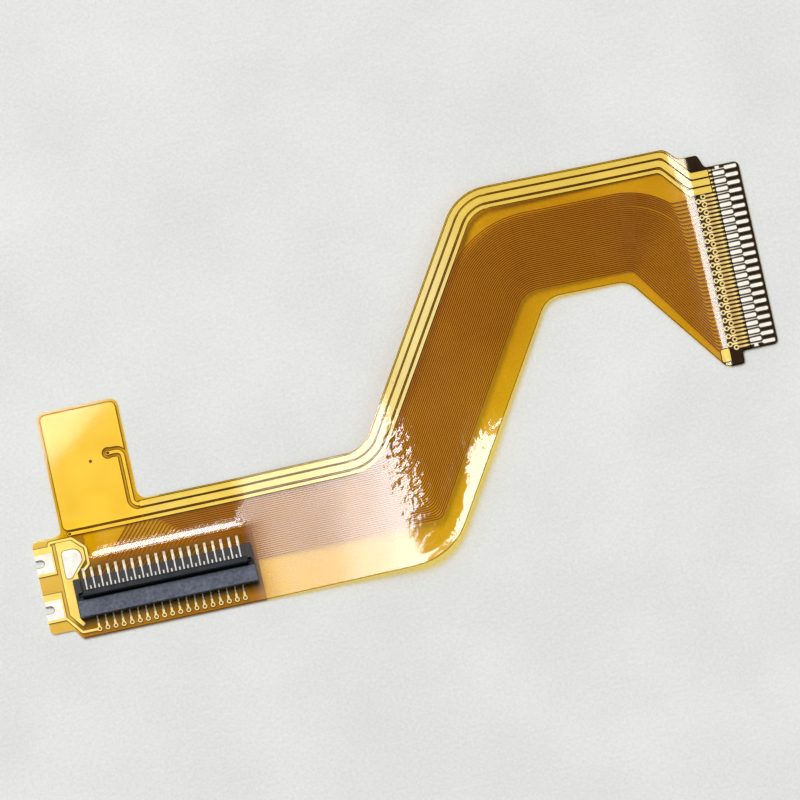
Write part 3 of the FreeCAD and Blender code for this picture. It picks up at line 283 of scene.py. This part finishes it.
def set_on_lift(mesh):
    """Moves a mesh from the bands of the solids onto the smooth lift of the film."""
    co = read_all(mesh.vertices, "co", 3)
    face_normals = read_all(mesh.polygons, "normal", 3)
    x, y = drawn_place(co.T)
    co[:, 2] -= np.interp(x, KNOT_X, KNOT_Z) * MM
    low_z, high_z = co[:, 2].min(), co[:, 2].max()
    co[:, 2] += CLEAR * MM * ((co[:, 2] < low_z + CLEAR * MM).astype(float)
                              - (co[:, 2] > high_z - CLEAR * MM))
    co[:, 2] += lift(x, y) * MM
    mesh.vertices.foreach_set("co", co.ravel())
    # level faces take their normals from the lift, upright ones keep their own
    sx, sy = lift_slope(x, y)
    up = np.stack([-sx, -sy, np.ones(len(co))], axis=1)
    up /= np.linalg.norm(up, axis=1)[:, None]
    loop_vertex = read_all(mesh.loops, "vertex_index", 1, np.int64)[:, 0]
    loop_totals = read_all(mesh.polygons, "loop_total", 1, np.int64)[:, 0]
    normals = np.repeat(face_normals, loop_totals, axis=0)
    level = np.abs(normals[:, 2:3]) > LEVEL
    normals = np.where(level, up[loop_vertex] * np.sign(normals[:, 2:3]), normals)
    mesh.polygons.foreach_set("use_smooth", np.ones(len(mesh.polygons), dtype=bool))
    mesh.update()
    mesh.normals_split_custom_set(normals.tolist())


def add_object(name, data):
    """New object in the scene."""
    made = bpy.data.objects.new(name, data)
    bpy.context.scene.collection.objects.link(made)
    return made


def lifted_copy(node, name):
    """Copy of a flat node on the smooth lift, which is shown in the node's place."""
    mesh = cut_mesh(node, name)
    set_on_lift(mesh)
    piece = add_object(name, mesh)
    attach(piece, "cable")
    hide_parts(node)
    return piece


# Materials

NOISE_ROUGHNESS = 0.55
NOISE_RANGE = (0.3, 0.7)     # most of the noise lies between these values
MIX_FIRST, MIX_SECOND, MIX_COLOUR = 6, 7, 2    # colour sockets of the mix node
GLOSS_SPAN = 0.08            # how far a finish's roughness varies each way
GLOSS_WAVES = 2.3            # waves of gloss and of relief to one wave of tone
RELIEF_WAVES = 6


def linear(rgb):
    """Linear values of a colour given as 0 to 255 on screen."""
    out = []
    for c in rgb:
        c = c / 255.0
        out.append(c / 12.92 if c <= 0.04045 else ((c + 0.055) / 1.055) ** 2.4)
    return (*out, 1.0)


class Look:
    """A node material under construction."""

    def __init__(self, name):
        self.material = bpy.data.materials.new(name)
        self.material.use_nodes = True
        self.tree = self.material.node_tree
        self.tree.nodes.clear()
        self.out = self.tree.nodes.new("ShaderNodeOutputMaterial")
        self.place = self.tree.nodes.new("ShaderNodeTexCoord").outputs["Object"]

    def node(self, kind, inputs=None, **settings):
        """New node with these settings and input values or links."""
        made = self.tree.nodes.new(kind)
        for key, value in settings.items():
            setattr(made, key, value)
        for key, value in (inputs or {}).items():
            if isinstance(value, bpy.types.NodeSocket):
                self.tree.links.new(value, made.inputs[key])
            else:
                made.inputs[key].default_value = value
        return made

    def math(self, operation, first, second=0.0):
        return self.node("ShaderNodeMath", {0: first, 1: second},
                         operation=operation).outputs[0]

    def plus(self, first, second):
        return self.math("ADD", first, second)

    def minus(self, first, second):
        return self.math("SUBTRACT", first, second)

    def times(self, first, second):
        return self.math("MULTIPLY", first, second)

    def drawn(self, axis):
        """Coordinate of the place in the drawing frame, in millimetres."""
        part = self.node("ShaderNodeSeparateXYZ", {0: self.place}).outputs[axis]
        return self.plus(self.math("DIVIDE", part, MM), (MID_X, MID_Y, 0.0)[axis])

    def spread(self, value, low, high, to_low=0.0, to_high=1.0, how="LINEAR"):
        """Carries the range from low to high over to the range from to_low to to_high."""
        made = self.node("ShaderNodeMapRange", {
            0: value, 1: low, 2: high, 3: to_low, 4: to_high}, interpolation_type=how)
        return made.outputs[0]

    def step(self, value, low, high):
        """Smooth change from 0 at low to 1 at high."""
        return self.spread(value, low, high, how="SMOOTHSTEP")

    def band(self, value, start, full, fading, end):
        """Zero outside start to end, one between full and fading."""
        rise = self.step(value, start, full)
        return self.times(rise, self.minus(1.0, self.step(value, fading, end)))

    def zone(self, x, y, bands):
        """One inside two bands, of x and of y, and zero outside them."""
        return self.times(self.band(x, *bands[0]), self.band(y, *bands[1]))

    def noise(self, scale, detail=4.0, stretch=(1, 1, 1)):
        """Noise whose scale is in waves per millimetre."""
        mapped = self.node("ShaderNodeMapping", {"Vector": self.place, "Scale": stretch})
        made = self.node("ShaderNodeTexNoise", {
            "Vector": mapped.outputs[0], "Scale": scale / MM, "Detail": detail,
            "Roughness": NOISE_ROUGHNESS})
        return made.outputs["Fac"]

    def uneven(self, scale, detail=4.0, low=0.0, high=1.0):
        """Noise spread between two values."""
        return self.spread(self.noise(scale, detail), *NOISE_RANGE, low, high)

    def blend(self, factor, low, high, how="MIX"):
        """Colour between low and high, or low darkened by high with how as MULTIPLY."""
        made = self.node("ShaderNodeMix", {0: factor, MIX_FIRST: low, MIX_SECOND: high},
                         data_type="RGBA", blend_type=how)
        return made.outputs[MIX_COLOUR]

    def between(self, factor, tones):
        """Colour between two tones, given as 0 to 255 on screen."""
        return self.blend(factor, linear(tones[0]), linear(tones[1]))

    def turned(self, factor, colour, tone):
        """Colour that turns into a tone, given as 0 to 255 on screen."""
        return self.blend(factor, colour, linear(tone))

    def bump(self, relief, height):
        """Normal of a relief, whose height is in millimetres."""
        return self.node("ShaderNodeBump", {
            "Height": relief, "Distance": height * MM, "Strength": 1.0}).outputs[0]

    def finish(self, shader):
        """The material, with this shader on its surface."""
        self.tree.links.new(shader.outputs[0], self.out.inputs["Surface"])
        return self.material

    def opaque(self, inputs):
        """The material, with an opaque surface."""
        return self.finish(self.node("ShaderNodeBsdfPrincipled", inputs))


def solid_look(name, tones, scale, rough, metal=0.0, bump=0.0, bump_scale=None, shine=0.5):
    """Opaque finish: two tones, uneven gloss and fine relief."""
    look = Look(name)
    inputs = {
        "Base Color": look.between(look.uneven(scale), tones),
        "Metallic": metal,
        "Roughness": look.uneven(scale * GLOSS_WAVES, 2.0, rough - GLOSS_SPAN,
                                 rough + GLOSS_SPAN),
        "Specular IOR Level": shine,
    }
    if bump:
        relief = look.noise(bump_scale or scale * RELIEF_WAVES, 3.0)
        inputs["Normal"] = look.bump(relief, bump)
    return look.opaque(inputs)


# Tints of the films, and where the base film's tint changes
COVER_TINT = (1.0, 0.955, 0.80)
BASE_TINT = (1.0, 0.91, 0.10)
EAR_TINT = (1.0, 0.98, 0.85)
EAR_TINT_X = (-6.6, -7.1)
FAR_TINT = (0.96, 0.86, 0.08)
FAR_TINT_X = (24.0, 32.0)
TINT_SPAN = (0.985, 1.01)    # unevenness of a tint

# Zones of the films' skin, as bands of x and y: start, full, fading and end
BESIDE_X = (6.0, 7.2, 15.5, 18.0)                            # right of the connector
TAIL_X = (41.8, 42.6, 43.8, 44.0)                            # before the tail's sheet
STRIP = ((-5.0, -4.0, 6.4, 6.8), (3.2, 3.4, 3.75, 4.0))      # behind the connector
STRIP_CREASED = ((-5.0, -3.5, 6.4, 6.8), (3.0, 3.4, 3.8, 4.2))
CALM = ((-8.0, -7.5, -5.0, -3.5), (4.8, 5.1, 6.0, 6.6))      # lower left of the tab
CREASED = ((16.5, 18.3, 19.8, 21.2), (-1.0, 2.0, 7.0, 10.5))         # lower bend
# at the outer edge of the bend the first band lies across its slanted side
EDGE_CREASED = ((16.4, 17.2, 18.4, 19.2), (-2.0, -0.5, 7.0, 9.0))

# Gloss of the skin, by zone
SKIN_IOR = 1.62
SKIN_ROUGH = (0.08, 0.105)
STEP_ROUGH = 0.06            # added on the steps beside and behind the connector
TAIL_ROUGH = 0.045           # added before the tail
GLOSS_X = (8.0, 18.5)        # the share of gloss grows from the connector to the bend
GLOSS = (0.47, 1.13)
TAIL_GLOSS_X = (42.3, 42.8)
TAIL_GLOSS = 0.9
CALM_GLOSS = 0.05
STRIP_GLOSS = 3.4

# Relief of the skin: its noises, in waves per millimetre, and its heights
WIDE_WAVES = dict(scale=0.35, detail=2.0, stretch=(1, 0.6, 1))
FINE_WAVES = dict(scale=2.6, detail=3.0)
CREASES = dict(scale=2.3, detail=1.0, stretch=(1, 0.8, 1))
RIPPLE = 0.006               # height of the wide waves
CREASE = 0.034               # and of the creases in the middle of the bend
FINE_SHARE = 0.06            # height of the fine waves, as a share of the wide ones
EDGE_SHARE = 0.6             # height of the other creases, as shares of those
STRIP_SHARE = 0.35


def skin_roughness(look, x, strip):
    """Roughness of the skin, higher where the film steps down."""
    rough = look.uneven(0.5, 3.0, *SKIN_ROUGH)
    for mask, more in ((look.band(x, *BESIDE_X), STEP_ROUGH), (strip, STEP_ROUGH),
                       (look.band(x, *TAIL_X), TAIL_ROUGH)):
        rough = look.plus(rough, look.times(mask, more))
    return rough


def skin_relief(look, x, y):
    """Waviness of the skin, with creases at the lower bend and behind the connector."""
    waves = look.plus(look.noise(**WIDE_WAVES),
                      look.times(look.noise(**FINE_WAVES), FINE_SHARE))
    across = look.minus(look.times(x, math.sin(BEND_ANGLE)),
                        look.times(y, math.cos(BEND_ANGLE)))
    edge = look.times(look.zone(across, y, EDGE_CREASED), EDGE_SHARE)
    strip = look.times(look.zone(x, y, STRIP_CREASED), STRIP_SHARE)
    zone = look.math("MAXIMUM", look.math("MAXIMUM", look.zone(x, y, CREASED), edge), strip)
    crease = look.times(look.noise(**CREASES), zone)
    return look.bump(look.plus(waves, look.times(crease, CREASE / RIPPLE)), RIPPLE)


def skin_share(look, x, y, strip, gloss):
    """Share of the skin's reflection: by angle, on outward sides only, and by zone."""
    fresnel = look.node("ShaderNodeFresnel", {"IOR": SKIN_IOR}).outputs[0]
    inside = look.node("ShaderNodeNewGeometry").outputs["Backfacing"]
    share = look.times(fresnel, look.minus(1.0, inside))
    for part in (look.spread(x, *GLOSS_X, GLOSS[0] * gloss, GLOSS[1] * gloss),
                 look.spread(x, *TAIL_GLOSS_X, 1.0, TAIL_GLOSS),
                 look.spread(look.zone(x, y, CALM), 0.0, 1.0, 1.0, CALM_GLOSS),
                 look.spread(strip, 0.0, 1.0, 1.0, STRIP_GLOSS)):
        share = look.times(share, part)
    return share


def film_look(name, tint, gloss=0.0, rippled=False, ear_tint=None, far_tint=None):
    """Clear amber film: tinted see-through body, with a glossy skin where gloss says."""
    look = Look(name)
    x, y = look.drawn(0), look.drawn(1)
    low, high = ((*(min(1.0, c * share) for c in tint), 1.0) for share in TINT_SPAN)
    colour = look.blend(look.uneven(0.25, detail=3.0), low, high)
    if ear_tint:
        colour = look.blend(look.step(x, *EAR_TINT_X), colour, (*ear_tint, 1.0))
    if far_tint:
        colour = look.blend(look.step(x, *FAR_TINT_X), colour, (*far_tint, 1.0))
    body = look.node("ShaderNodeBsdfTransparent", {"Color": colour})
    if not gloss:
        return look.finish(body)
    strip = look.zone(x, y, STRIP)
    inputs = {"Color": (1, 1, 1, 1), "Roughness": skin_roughness(look, x, strip)}
    if rippled:
        inputs["Normal"] = skin_relief(look, x, y)
    skin = look.node("ShaderNodeBsdfAnisotropic", inputs)
    return look.finish(look.node("ShaderNodeMixShader", {
        0: skin_share(look, x, y, strip, gloss), 1: body.outputs[0], 2: skin.outputs[0]}))


TAB_TONES = ((246, 210, 46), (250, 215, 56))
# the lines' paler tone is a painted sheen, and their palest band at the bend is painted
# glare
SHEEN_LINE_TONE = (240, 220, 128)
GLARE_LINE_TONE = (248, 242, 214)
TAB_END_X = (-1.2, 1.0)                  # the tab's gold turns paler between these
GLARE_LINE_X = (16.5, 20.5, 23.0, 28.0)   # the lines are palest in this band


def copper_look():
    """Wide copper: golden in the ground tab, with a painted sheen along the lines and
    painted glare at the bend.
    """
    look = Look("wide_copper")
    x = look.drawn(0)
    tone = look.between(look.uneven(0.3), TAB_TONES)
    tone = look.turned(look.step(x, *TAB_END_X), tone, SHEEN_LINE_TONE)
    tone = look.turned(look.band(x, *GLARE_LINE_X), tone, GLARE_LINE_TONE)
    return look.opaque({
        "Base Color": tone, "Metallic": 0.2,
        "Roughness": look.uneven(0.7, detail=2.0, low=0.52, high=0.62),
        "Normal": look.bump(look.noise(3.0, detail=3.0), height=0.002)})


def painted_shadow(look, tone, box, reach, depth):
    """Painted shadow: darkens a tone near a box of the drawing frame (left, right, low,
    high).
    """
    gaps = []
    for axis, (low, high) in enumerate((box[:2], box[2:])):
        off = look.math("ABSOLUTE", look.minus(look.drawn(axis), (low + high) / 2))
        gaps.append(look.math("MAXIMUM", look.minus(off, (high - low) / 2), 0.0))
    far = look.math("SQRT", look.plus(look.times(gaps[0], gaps[0]),
                                      look.times(gaps[1], gaps[1])))
    keep = look.spread(far, 0.0, reach, depth, 1.0)
    grey = look.node("ShaderNodeCombineColor", {0: keep, 1: keep, 2: keep}).outputs[0]
    return look.blend(1.0, tone, grey, "MULTIPLY")


SHEET_TONES = ((164, 140, 116), (176, 151, 124))
EAR_SHEET_TONE = (240, 228, 205)
EAR_SHEET_X = (-6.2, -7.1)               # the sheet turns pale below the ears
# painted shadow of the housing on the sheet: its box, reach and depth
HOUSING_BOX = (-6.3, 6.7, -1.2, 2.5)     # what shades the sheet, how far and how much
HOUSING_SHADE = (0.7, 0.14)


def stiffener_look():
    """Amber laminate below the connector, with the housing's shadow painted on it."""
    look = Look("amber_stiffener")
    tone = look.between(look.uneven(0.4), SHEET_TONES)
    tone = look.turned(look.step(look.drawn(0), *EAR_SHEET_X), tone, EAR_SHEET_TONE)
    tone = painted_shadow(look, tone, HOUSING_BOX, *HOUSING_SHADE)
    return look.opaque({"Base Color": tone, "Roughness": 0.45})


PATCH_TONE = (0.88, 0.88, 0.88, 1.0)     # darkest patches of the toned metals
PATCH_GLOSS = 0.05


def toned(name, rough, metal, axis, stops):
    """Metal whose tone changes along one axis, with stops of a place and a tone."""
    look = Look(name)
    place = look.drawn(axis)
    tone = linear(stops[0][1])
    for (start, before), (end, after) in zip(stops, stops[1:]):
        if before != after:
            tone = look.turned(look.step(place, start, end), tone, after)
    return look.opaque({
        "Base Color": look.blend(look.uneven(1.3), tone, PATCH_TONE, "MULTIPLY"),
        "Metallic": metal,
        "Roughness": look.uneven(2.4, 2.0, rough - PATCH_GLOSS, rough + PATCH_GLOSS),
        "Normal": look.bump(look.noise(5.0, detail=3.0), height=0.003)})


ROOF_TOP = 1.291                         # top of the connector's roof
COMB_Y = (0.5, 0.8)                      # the comb between the contacts starts here
# painted shade at the lever's foot and in the gap round it, below the roof's top
LEVER_FOOT_SHADE_Y = (0.17, 0.24, 0.6, 0.85)         # the lever's foot, between roof and comb
GAP_SHADE_Y = (0.0, 0.1, 0.6, 0.85)            # the gap round it, dark below the roof's top
GAP_SHADE_Z = (ROOF_TOP - 0.01, ROOF_TOP - 0.03)
HOUSING_TONES = ((66, 72, 88), (108, 114, 128))
COMB_TONE = (62, 59, 60)
PAINTED_SHADE_TONE = (14, 15, 18)


def housing_look():
    """Grey moulding, darker between the contacts, with painted shade at the lever's foot
    and in the gap round it.
    """
    look = Look("housing_grey")
    y = look.drawn(1)
    clouds, specks = look.noise(0.9), look.noise(3.8, detail=3.0)
    mixed = look.plus(look.times(clouds, 0.4), look.times(specks, 0.6))
    tone = look.between(look.spread(mixed, 0.36, 0.64), HOUSING_TONES)
    tone = look.turned(look.step(y, *COMB_Y), tone, COMB_TONE)
    tone = look.turned(look.band(y, *LEVER_FOOT_SHADE_Y), tone, PAINTED_SHADE_TONE)
    gap_shade = look.times(look.step(look.drawn(2), *GAP_SHADE_Z), look.band(y, *GAP_SHADE_Y))
    tone = look.turned(gap_shade, tone, PAINTED_SHADE_TONE)
    return look.opaque({
        "Base Color": tone, "Roughness": 0.58, "Specular IOR Level": 0.3,
        "Normal": look.bump(look.noise(4.0, detail=3.0), height=0.012)})


FLOOR_TONES = ((227, 228, 225), (242, 243, 240))


def floor_look():
    """Pale paper with wide mottles and a fine grain."""
    look = Look("floor")
    mottle, grain = look.noise(0.09, detail=5.0), look.noise(4.5, detail=2.0)
    mixed = look.plus(mottle, look.times(grain, 1.1))
    relief = look.plus(mottle, look.times(grain, 0.02))
    return look.opaque({
        "Base Color": look.between(look.spread(mixed, 0.75, 1.35), FLOOR_TONES),
        "Roughness": 0.85, "Normal": look.bump(relief, height=0.12)})


# dark tint of the painted shade along the edges of the copper lines and the film
EDGE_SHADE_TINT = (0.3, 0.24, 0.15)
LEAD_TONE = (228, 200, 160)
BRIGHT_LEAD_TONE = (255, 238, 196)
FRONT_CONTACT_TONE = (160, 146, 122)
# painted shade on the contacts below the lever and the roof
SHADED_CONTACT_TONE = (20, 19, 18)
REAR_CONTACT_TONE = (206, 201, 194)

LOOKS = {
    "cover_skin": film_look("cover_film_skin", COVER_TINT, gloss=1.0, rippled=True),
    "cover_body": film_look("cover_film_body", COVER_TINT),
    "base_body": film_look("base_film_body", BASE_TINT, ear_tint=EAR_TINT,
                           far_tint=FAR_TINT),
    "base_skin": film_look("base_film_skin", BASE_TINT, gloss=0.8, ear_tint=EAR_TINT,
                           far_tint=FAR_TINT),
    # painted shade along the copper lines' edges and the film's edge
    "edge_shade": film_look("painted_edge_shade", EDGE_SHADE_TINT),
    "signal": toned("signal_copper", rough=0.5, metal=0.3, axis=0, stops=[
        (43.3, (138, 78, 50)), (43.7, (26, 16, 8))]),
    "wide": copper_look(),
    "edge": solid_look("edge_copper", ((250, 230, 148), (254, 238, 168)), scale=0.8,
                       rough=0.5, metal=0.2, bump=0.003),
    "pad": solid_look("pad_copper", ((252, 236, 204), (255, 246, 222)), scale=1.2,
                      rough=0.5, metal=0.1, bump=0.004),
    "finger": toned("tail_finger", rough=0.5, metal=0.25, axis=0, stops=[
        (44.45, (255, 244, 228)), (44.62, LEAD_TONE), (44.8, LEAD_TONE),
        (45.15, BRIGHT_LEAD_TONE), (45.3, BRIGHT_LEAD_TONE), (45.42, (240, 236, 224))]),
    "finish": solid_look("pad_finish", ((226, 222, 210), (238, 234, 222)), scale=1.0,
                         rough=0.5, metal=0.25, bump=0.003),
    "gold": solid_look("gold_pad", ((232, 194, 80), (240, 204, 92)), scale=1.5,
                       rough=0.5, metal=0.15, bump=0.003),
    "barrel": solid_look("barrel", ((96, 72, 40), (126, 98, 60)), scale=2.0, rough=0.5,
                         metal=0.3),
    # painted shade along the edges of the bare copper and the fingers
    "rim_shade": solid_look("painted_rim_shade", ((60, 42, 18), (76, 55, 24)), scale=1.0, rough=0.6),
    "amber": stiffener_look(),
    "dark": solid_look("dark_stiffener", ((38, 30, 21), (50, 41, 29)), scale=0.5,
                       rough=0.7, bump=0.003, shine=0.08),
    "housing": housing_look(),
    "lever": solid_look("lever_black", ((34, 37, 40), (46, 50, 54)), scale=0.8,
                        rough=0.5, bump=0.006, bump_scale=3.0, shine=0.15),
    # contacts painted dark from y -0.6 to 0.8, the shade below the lever and roof
    "contact": toned("contact_metal", rough=0.45, metal=0.35, axis=1, stops=[
        (-0.9, FRONT_CONTACT_TONE), (-0.6, SHADED_CONTACT_TONE), (0.8, SHADED_CONTACT_TONE),
        (0.95, REAR_CONTACT_TONE), (2.0, REAR_CONTACT_TONE), (2.2, (246, 214, 170))]),
    "hold": solid_look("hold_down_metal", ((96, 98, 102), (128, 130, 134)), scale=1.2,
                       rough=0.4, metal=0.6, bump=0.003),
    "solder": solid_look("solder", ((222, 192, 148), (250, 222, 180)), scale=2.5,
                         rough=0.42, metal=0.2, bump=0.008),
}


def dress(owner, *looks):
    """Gives an object these looks as its material slots."""
    owner.data.materials.clear()
    for key in looks:
        owner.data.materials.append(LOOKS[key])


# Film pieces: node, name of its copy, looks and slot

CAST = [
    ("base_film", "film_core", ("base_body", "base_skin"), "base_film"),
    ("top_coverlay", "top_cover", ("cover_body", "cover_skin"), "cover_film"),
    ("bottom_coverlay", "bottom_cover", ("cover_body",), "cover_film"),
    ("signal_traces", "signal_lines", ("signal",), "signal_copper"),
    ("wide_trace_outer", "outer_wide_line", ("wide",), "wide_copper"),
    ("ground_plane", "plane_and_middle_line", ("wide",), "wide_copper"),
    ("wide_trace_inner", "inner_wide_line", ("wide",), "wide_copper"),
    ("plane_vias", "plane_barrels", ("barrel",), "barrel"),
    ("locator_pad", "locator_finish", ("gold",), "gold_pad"),
]
FILM = {}
for node, name, looks, slot in CAST:
    piece = lifted_copy(node, name)
    dress(piece, *looks)
    FILM[node] = piece

WINDOW_X = (-5.83, 6.23)     # the cover's window at the connector
WINDOW_Y = (-1.5, 2.78)
FINGER_START = 45.35         # end of the cover, where the tail's leads widen to fingers
LOOKS_UP = 0.5               # least height of a unit normal on a face that looks up


def in_window(x, y):
    """Whether the base film lies bare at a place."""
    return (x > FINGER_START
            or (WINDOW_X[0] < x < WINDOW_X[1] and WINDOW_Y[0] < y < WINDOW_Y[1]))


def skin_faces(piece, inside):
    """Second look on the faces that look up and lie where inside says."""
    for face in piece.data.polygons:
        if face.normal[2] > LOOKS_UP and inside(*drawn_place(face.center)):
            face.material_index = 1


skin_faces(FILM["top_coverlay"], lambda x, y: True)
skin_faces(FILM["base_film"], in_window)

# Pieces kept as made, with their looks

KEPT = {
    "edge_copper_high": "edge", "edge_copper_low": "edge", "strip_copper": "edge",
    "ground_pad_plating": "finish", "edge_plating_high": "finish",
    "edge_plating_low": "finish", "tail_fingers_outer": "finger",
    "tail_fingers_inner": "finger", "rear_pads": "pad", "front_pads": "pad",
    "connector_vias": "barrel", "tail_vias": "barrel", "connector_stiffener": "amber",
    "tail_stiffener": "dark", "connector_housing": "housing", "lock_bar": "lever",
    "rear_contacts": "contact", "front_contacts": "contact", "hold_down_left": "hold",
    "hold_down_right": "hold", "rear_solder": "solder", "front_solder": "solder",
}
for node, key in KEPT.items():
    dress(NODES[node], key)

# Painted shade: dark lines along the edges of the copper and of the film

RIM_WIDTH = 0.045
RIM_DROP = 0.007
RIM_RISE = 0.001         # of the rims that lie on a piece
EDGE_SHADE_RISE = 0.0265       # from the copper's top face to just above the cover film
EDGE_SHADE_INSET = 0.01
FILM_EDGE_INSET = 0.055
FINGER_INSETS = (0.008, 0.035)   # on the thin leads and on the fingers
WINDOW_MARGIN = 0.6
TAB_CORNER = (1.0, 4.2)          # the ground tab lies left of and above this place
EARS_END = -6.4                  # and the ears lie left of this one
TOP_FACE, SIDE_FACE = 0.7, 0.3   # heights of unit normals that tell top and side apart
SHARP = 0.5                      # keeps the points at sharp corners from running out


def no_outline(x, y):
    """Whether a place lies at the connector's window, in the ground tab or at the ears."""
    return ((x < TAB_CORNER[0] and y > TAB_CORNER[1]) or x < EARS_END
            or (WINDOW_X[0] - WINDOW_MARGIN < x < WINDOW_X[1] + WINDOW_MARGIN
                and WINDOW_Y[0] - WINDOW_MARGIN < y < WINDOW_Y[1] + WINDOW_MARGIN))


def top_borders(bm, skip):
    """Upper edges of a thin piece, and the outward directions at their ends."""
    borders, outward = [], {}
    for edge in bm.edges:
        if len(edge.link_faces) != 2:
            continue
        top, side = sorted(edge.link_faces, key=lambda f: -f.normal.z)
        if top.normal.z < TOP_FACE or abs(side.normal.z) > SIDE_FACE:
            continue
        if skip and skip(*drawn_place((edge.verts[0].co + edge.verts[1].co) / 2)):
            continue
        borders.append(edge.verts[:])
        flat = Vector((side.normal.x, side.normal.y, 0.0)).normalized()
        for vert in edge.verts:
            outward.setdefault(vert, []).append(flat)
    return borders, outward


def edge_rims(name, owners, insets, width, rise, far, key, skip=None):
    """Narrow strips along the upper edges of thin pieces, apart from where skip says.

    They lie at that rise on the piece, from the inset to its edge, and go on outside it
    down to the height far. The first inset holds left of the fingers, the second after."""
    points, faces = [], []
    for owner in owners:
        bm = bmesh.new()
        bm.from_mesh(owner.data)
        bmesh.ops.remove_doubles(bm, verts=bm.verts, dist=SAME_PLACE)
        bm.normal_update()
        borders, outward = top_borders(bm, skip)
        first = {}
        for vert, normals in outward.items():
            mean = sum(normals, Vector()).normalized()
            mean /= max(SHARP, mean.dot(normals[0]))
            first[vert] = len(points)
            inset = insets[drawn_place(vert.co)[0] > FINGER_START]
            points += [vert.co - mean * inset * MM + Vector((0, 0, rise * MM)),
                       vert.co + Vector((0, 0, rise * MM)),
                       vert.co + mean * width * MM + Vector((0, 0, far * MM))]
            for point in points[-3:]:
                for axis in (0, 1):
                    point[axis] = min(max(point[axis], CAD_BOX[0][axis]), CAD_BOX[1][axis])
        for a, b in borders:
            if max(insets) > 0.0:
                faces.append((first[a], first[a] + 1, first[b] + 1, first[b]))
            if width > 0.0:
                faces.append((first[a] + 1, first[a] + 2, first[b] + 2, first[b] + 1))
        bm.free()
    mesh = bpy.data.meshes.new(name)
    mesh.from_pydata([tuple(p) for p in points], [], faces)
    piece = add_object(name, mesh)
    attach(piece, "cable")
    dress(piece, key)


COVERED_LINES = [FILM[n] for n in ("wide_trace_outer", "ground_plane", "wide_trace_inner")]
BARE_PADS = [NODES[n] for n in ("edge_copper_high", "edge_copper_low", "strip_copper",
                                "ground_pad_plating", "rear_pads", "front_pads")]
FINGERS = [NODES["tail_fingers_outer"], NODES["tail_fingers_inner"]]

edge_rims("line_edge_shade", COVERED_LINES, insets=(EDGE_SHADE_INSET, EDGE_SHADE_INSET), width=RIM_WIDTH,
          rise=EDGE_SHADE_RISE, far=EDGE_SHADE_RISE, key="edge_shade")
edge_rims("film_edge", [FILM["top_coverlay"]], insets=(FILM_EDGE_INSET, FILM_EDGE_INSET),
          width=0.0, rise=RIM_RISE, far=RIM_RISE, key="edge_shade",
          skip=no_outline)
edge_rims("pad_rim_shade", BARE_PADS + [FILM["locator_pad"]], insets=(0.0, 0.0),
          width=RIM_WIDTH, rise=-RIM_RISE, far=-RIM_DROP, key="rim_shade")
edge_rims("finger_rim_shade", FINGERS, insets=FINGER_INSETS, width=RIM_WIDTH, rise=RIM_RISE,
          far=-RIM_DROP, key="rim_shade")

# Floor and light

FLOOR_SIZE = 6.0
FILL_TINT = (0.97, 0.985, 1.0, 1.0)
FILL_STRENGTH = 0.10
SOFTBOX_DISTANCE = 1.2

bpy.ops.mesh.primitive_plane_add(size=FLOOR_SIZE, location=(0, 0, 0))
floor = bpy.context.object
floor.name = "floor"
floor.data.materials.append(floor_look())

world = bpy.data.worlds.new("fill")
world.use_nodes = True
background = world.node_tree.nodes["Background"]
background.inputs["Color"].default_value = FILL_TINT
background.inputs["Strength"].default_value = FILL_STRENGTH
bpy.context.scene.world = world


def skyward(left, up):
    """Direction at these angles off straight above, left and up the picture."""
    return (-RIGHT * math.tan(math.radians(left)) + UP * math.tan(math.radians(up))
            + Vector((0, 0, 1))).normalized()


def add_light(name, kind, direction, energy):
    """Light that shines on the cable from this direction."""
    lamp = add_object(name, bpy.data.lights.new(name, kind))
    lamp.data.energy = energy
    lamp.rotation_euler = direction.to_track_quat("Z", "Y").to_euler()
    return lamp


def softbox(name, left, up, size, power):
    """Square light, which the glossy film mirrors."""
    direction = skyward(left, up)
    lamp = add_light(name, "AREA", direction, power)
    lamp.data.shape = "SQUARE"
    lamp.data.size = size
    lamp.location = TARGET + direction * SOFTBOX_DISTANCE


def open_shade(name, left, up, strength, spread):
    """Broad daylight."""
    lamp = add_light(name, "SUN", skyward(left, up), strength)
    lamp.data.angle = math.radians(spread)


softbox("key", left=16.6, up=11.0, size=0.47, power=8.4)
softbox("high", left=5.0, up=28.5, size=0.2, power=1.55)
open_shade("shade_left", left=40.0, up=38.0, strength=0.5, spread=50.0)
open_shade("shade_right", left=-42.0, up=-30.0, strength=0.5, spread=50.0)

# Camera and view

camera = add_object("camera", bpy.data.cameras.new("camera"))
camera.data.sensor_width = SENSOR_WIDTH
camera.data.lens = SENSOR_WIDTH * CAMERA_DISTANCE / FRAME_WIDTH
camera.data.clip_start = CLIP_NEAR
camera.data.clip_end = CLIP_FAR
camera.location = TARGET + TO_CAMERA * CAMERA_DISTANCE
camera.rotation_euler = TO_CAMERA.to_track_quat("Z", "Y").to_euler()
bpy.context.scene.camera = camera
bpy.context.scene.view_settings.view_transform = "Standard"
bpy.context.scene.cycles.transparent_max_bounces = 32    # the films lie in many layers
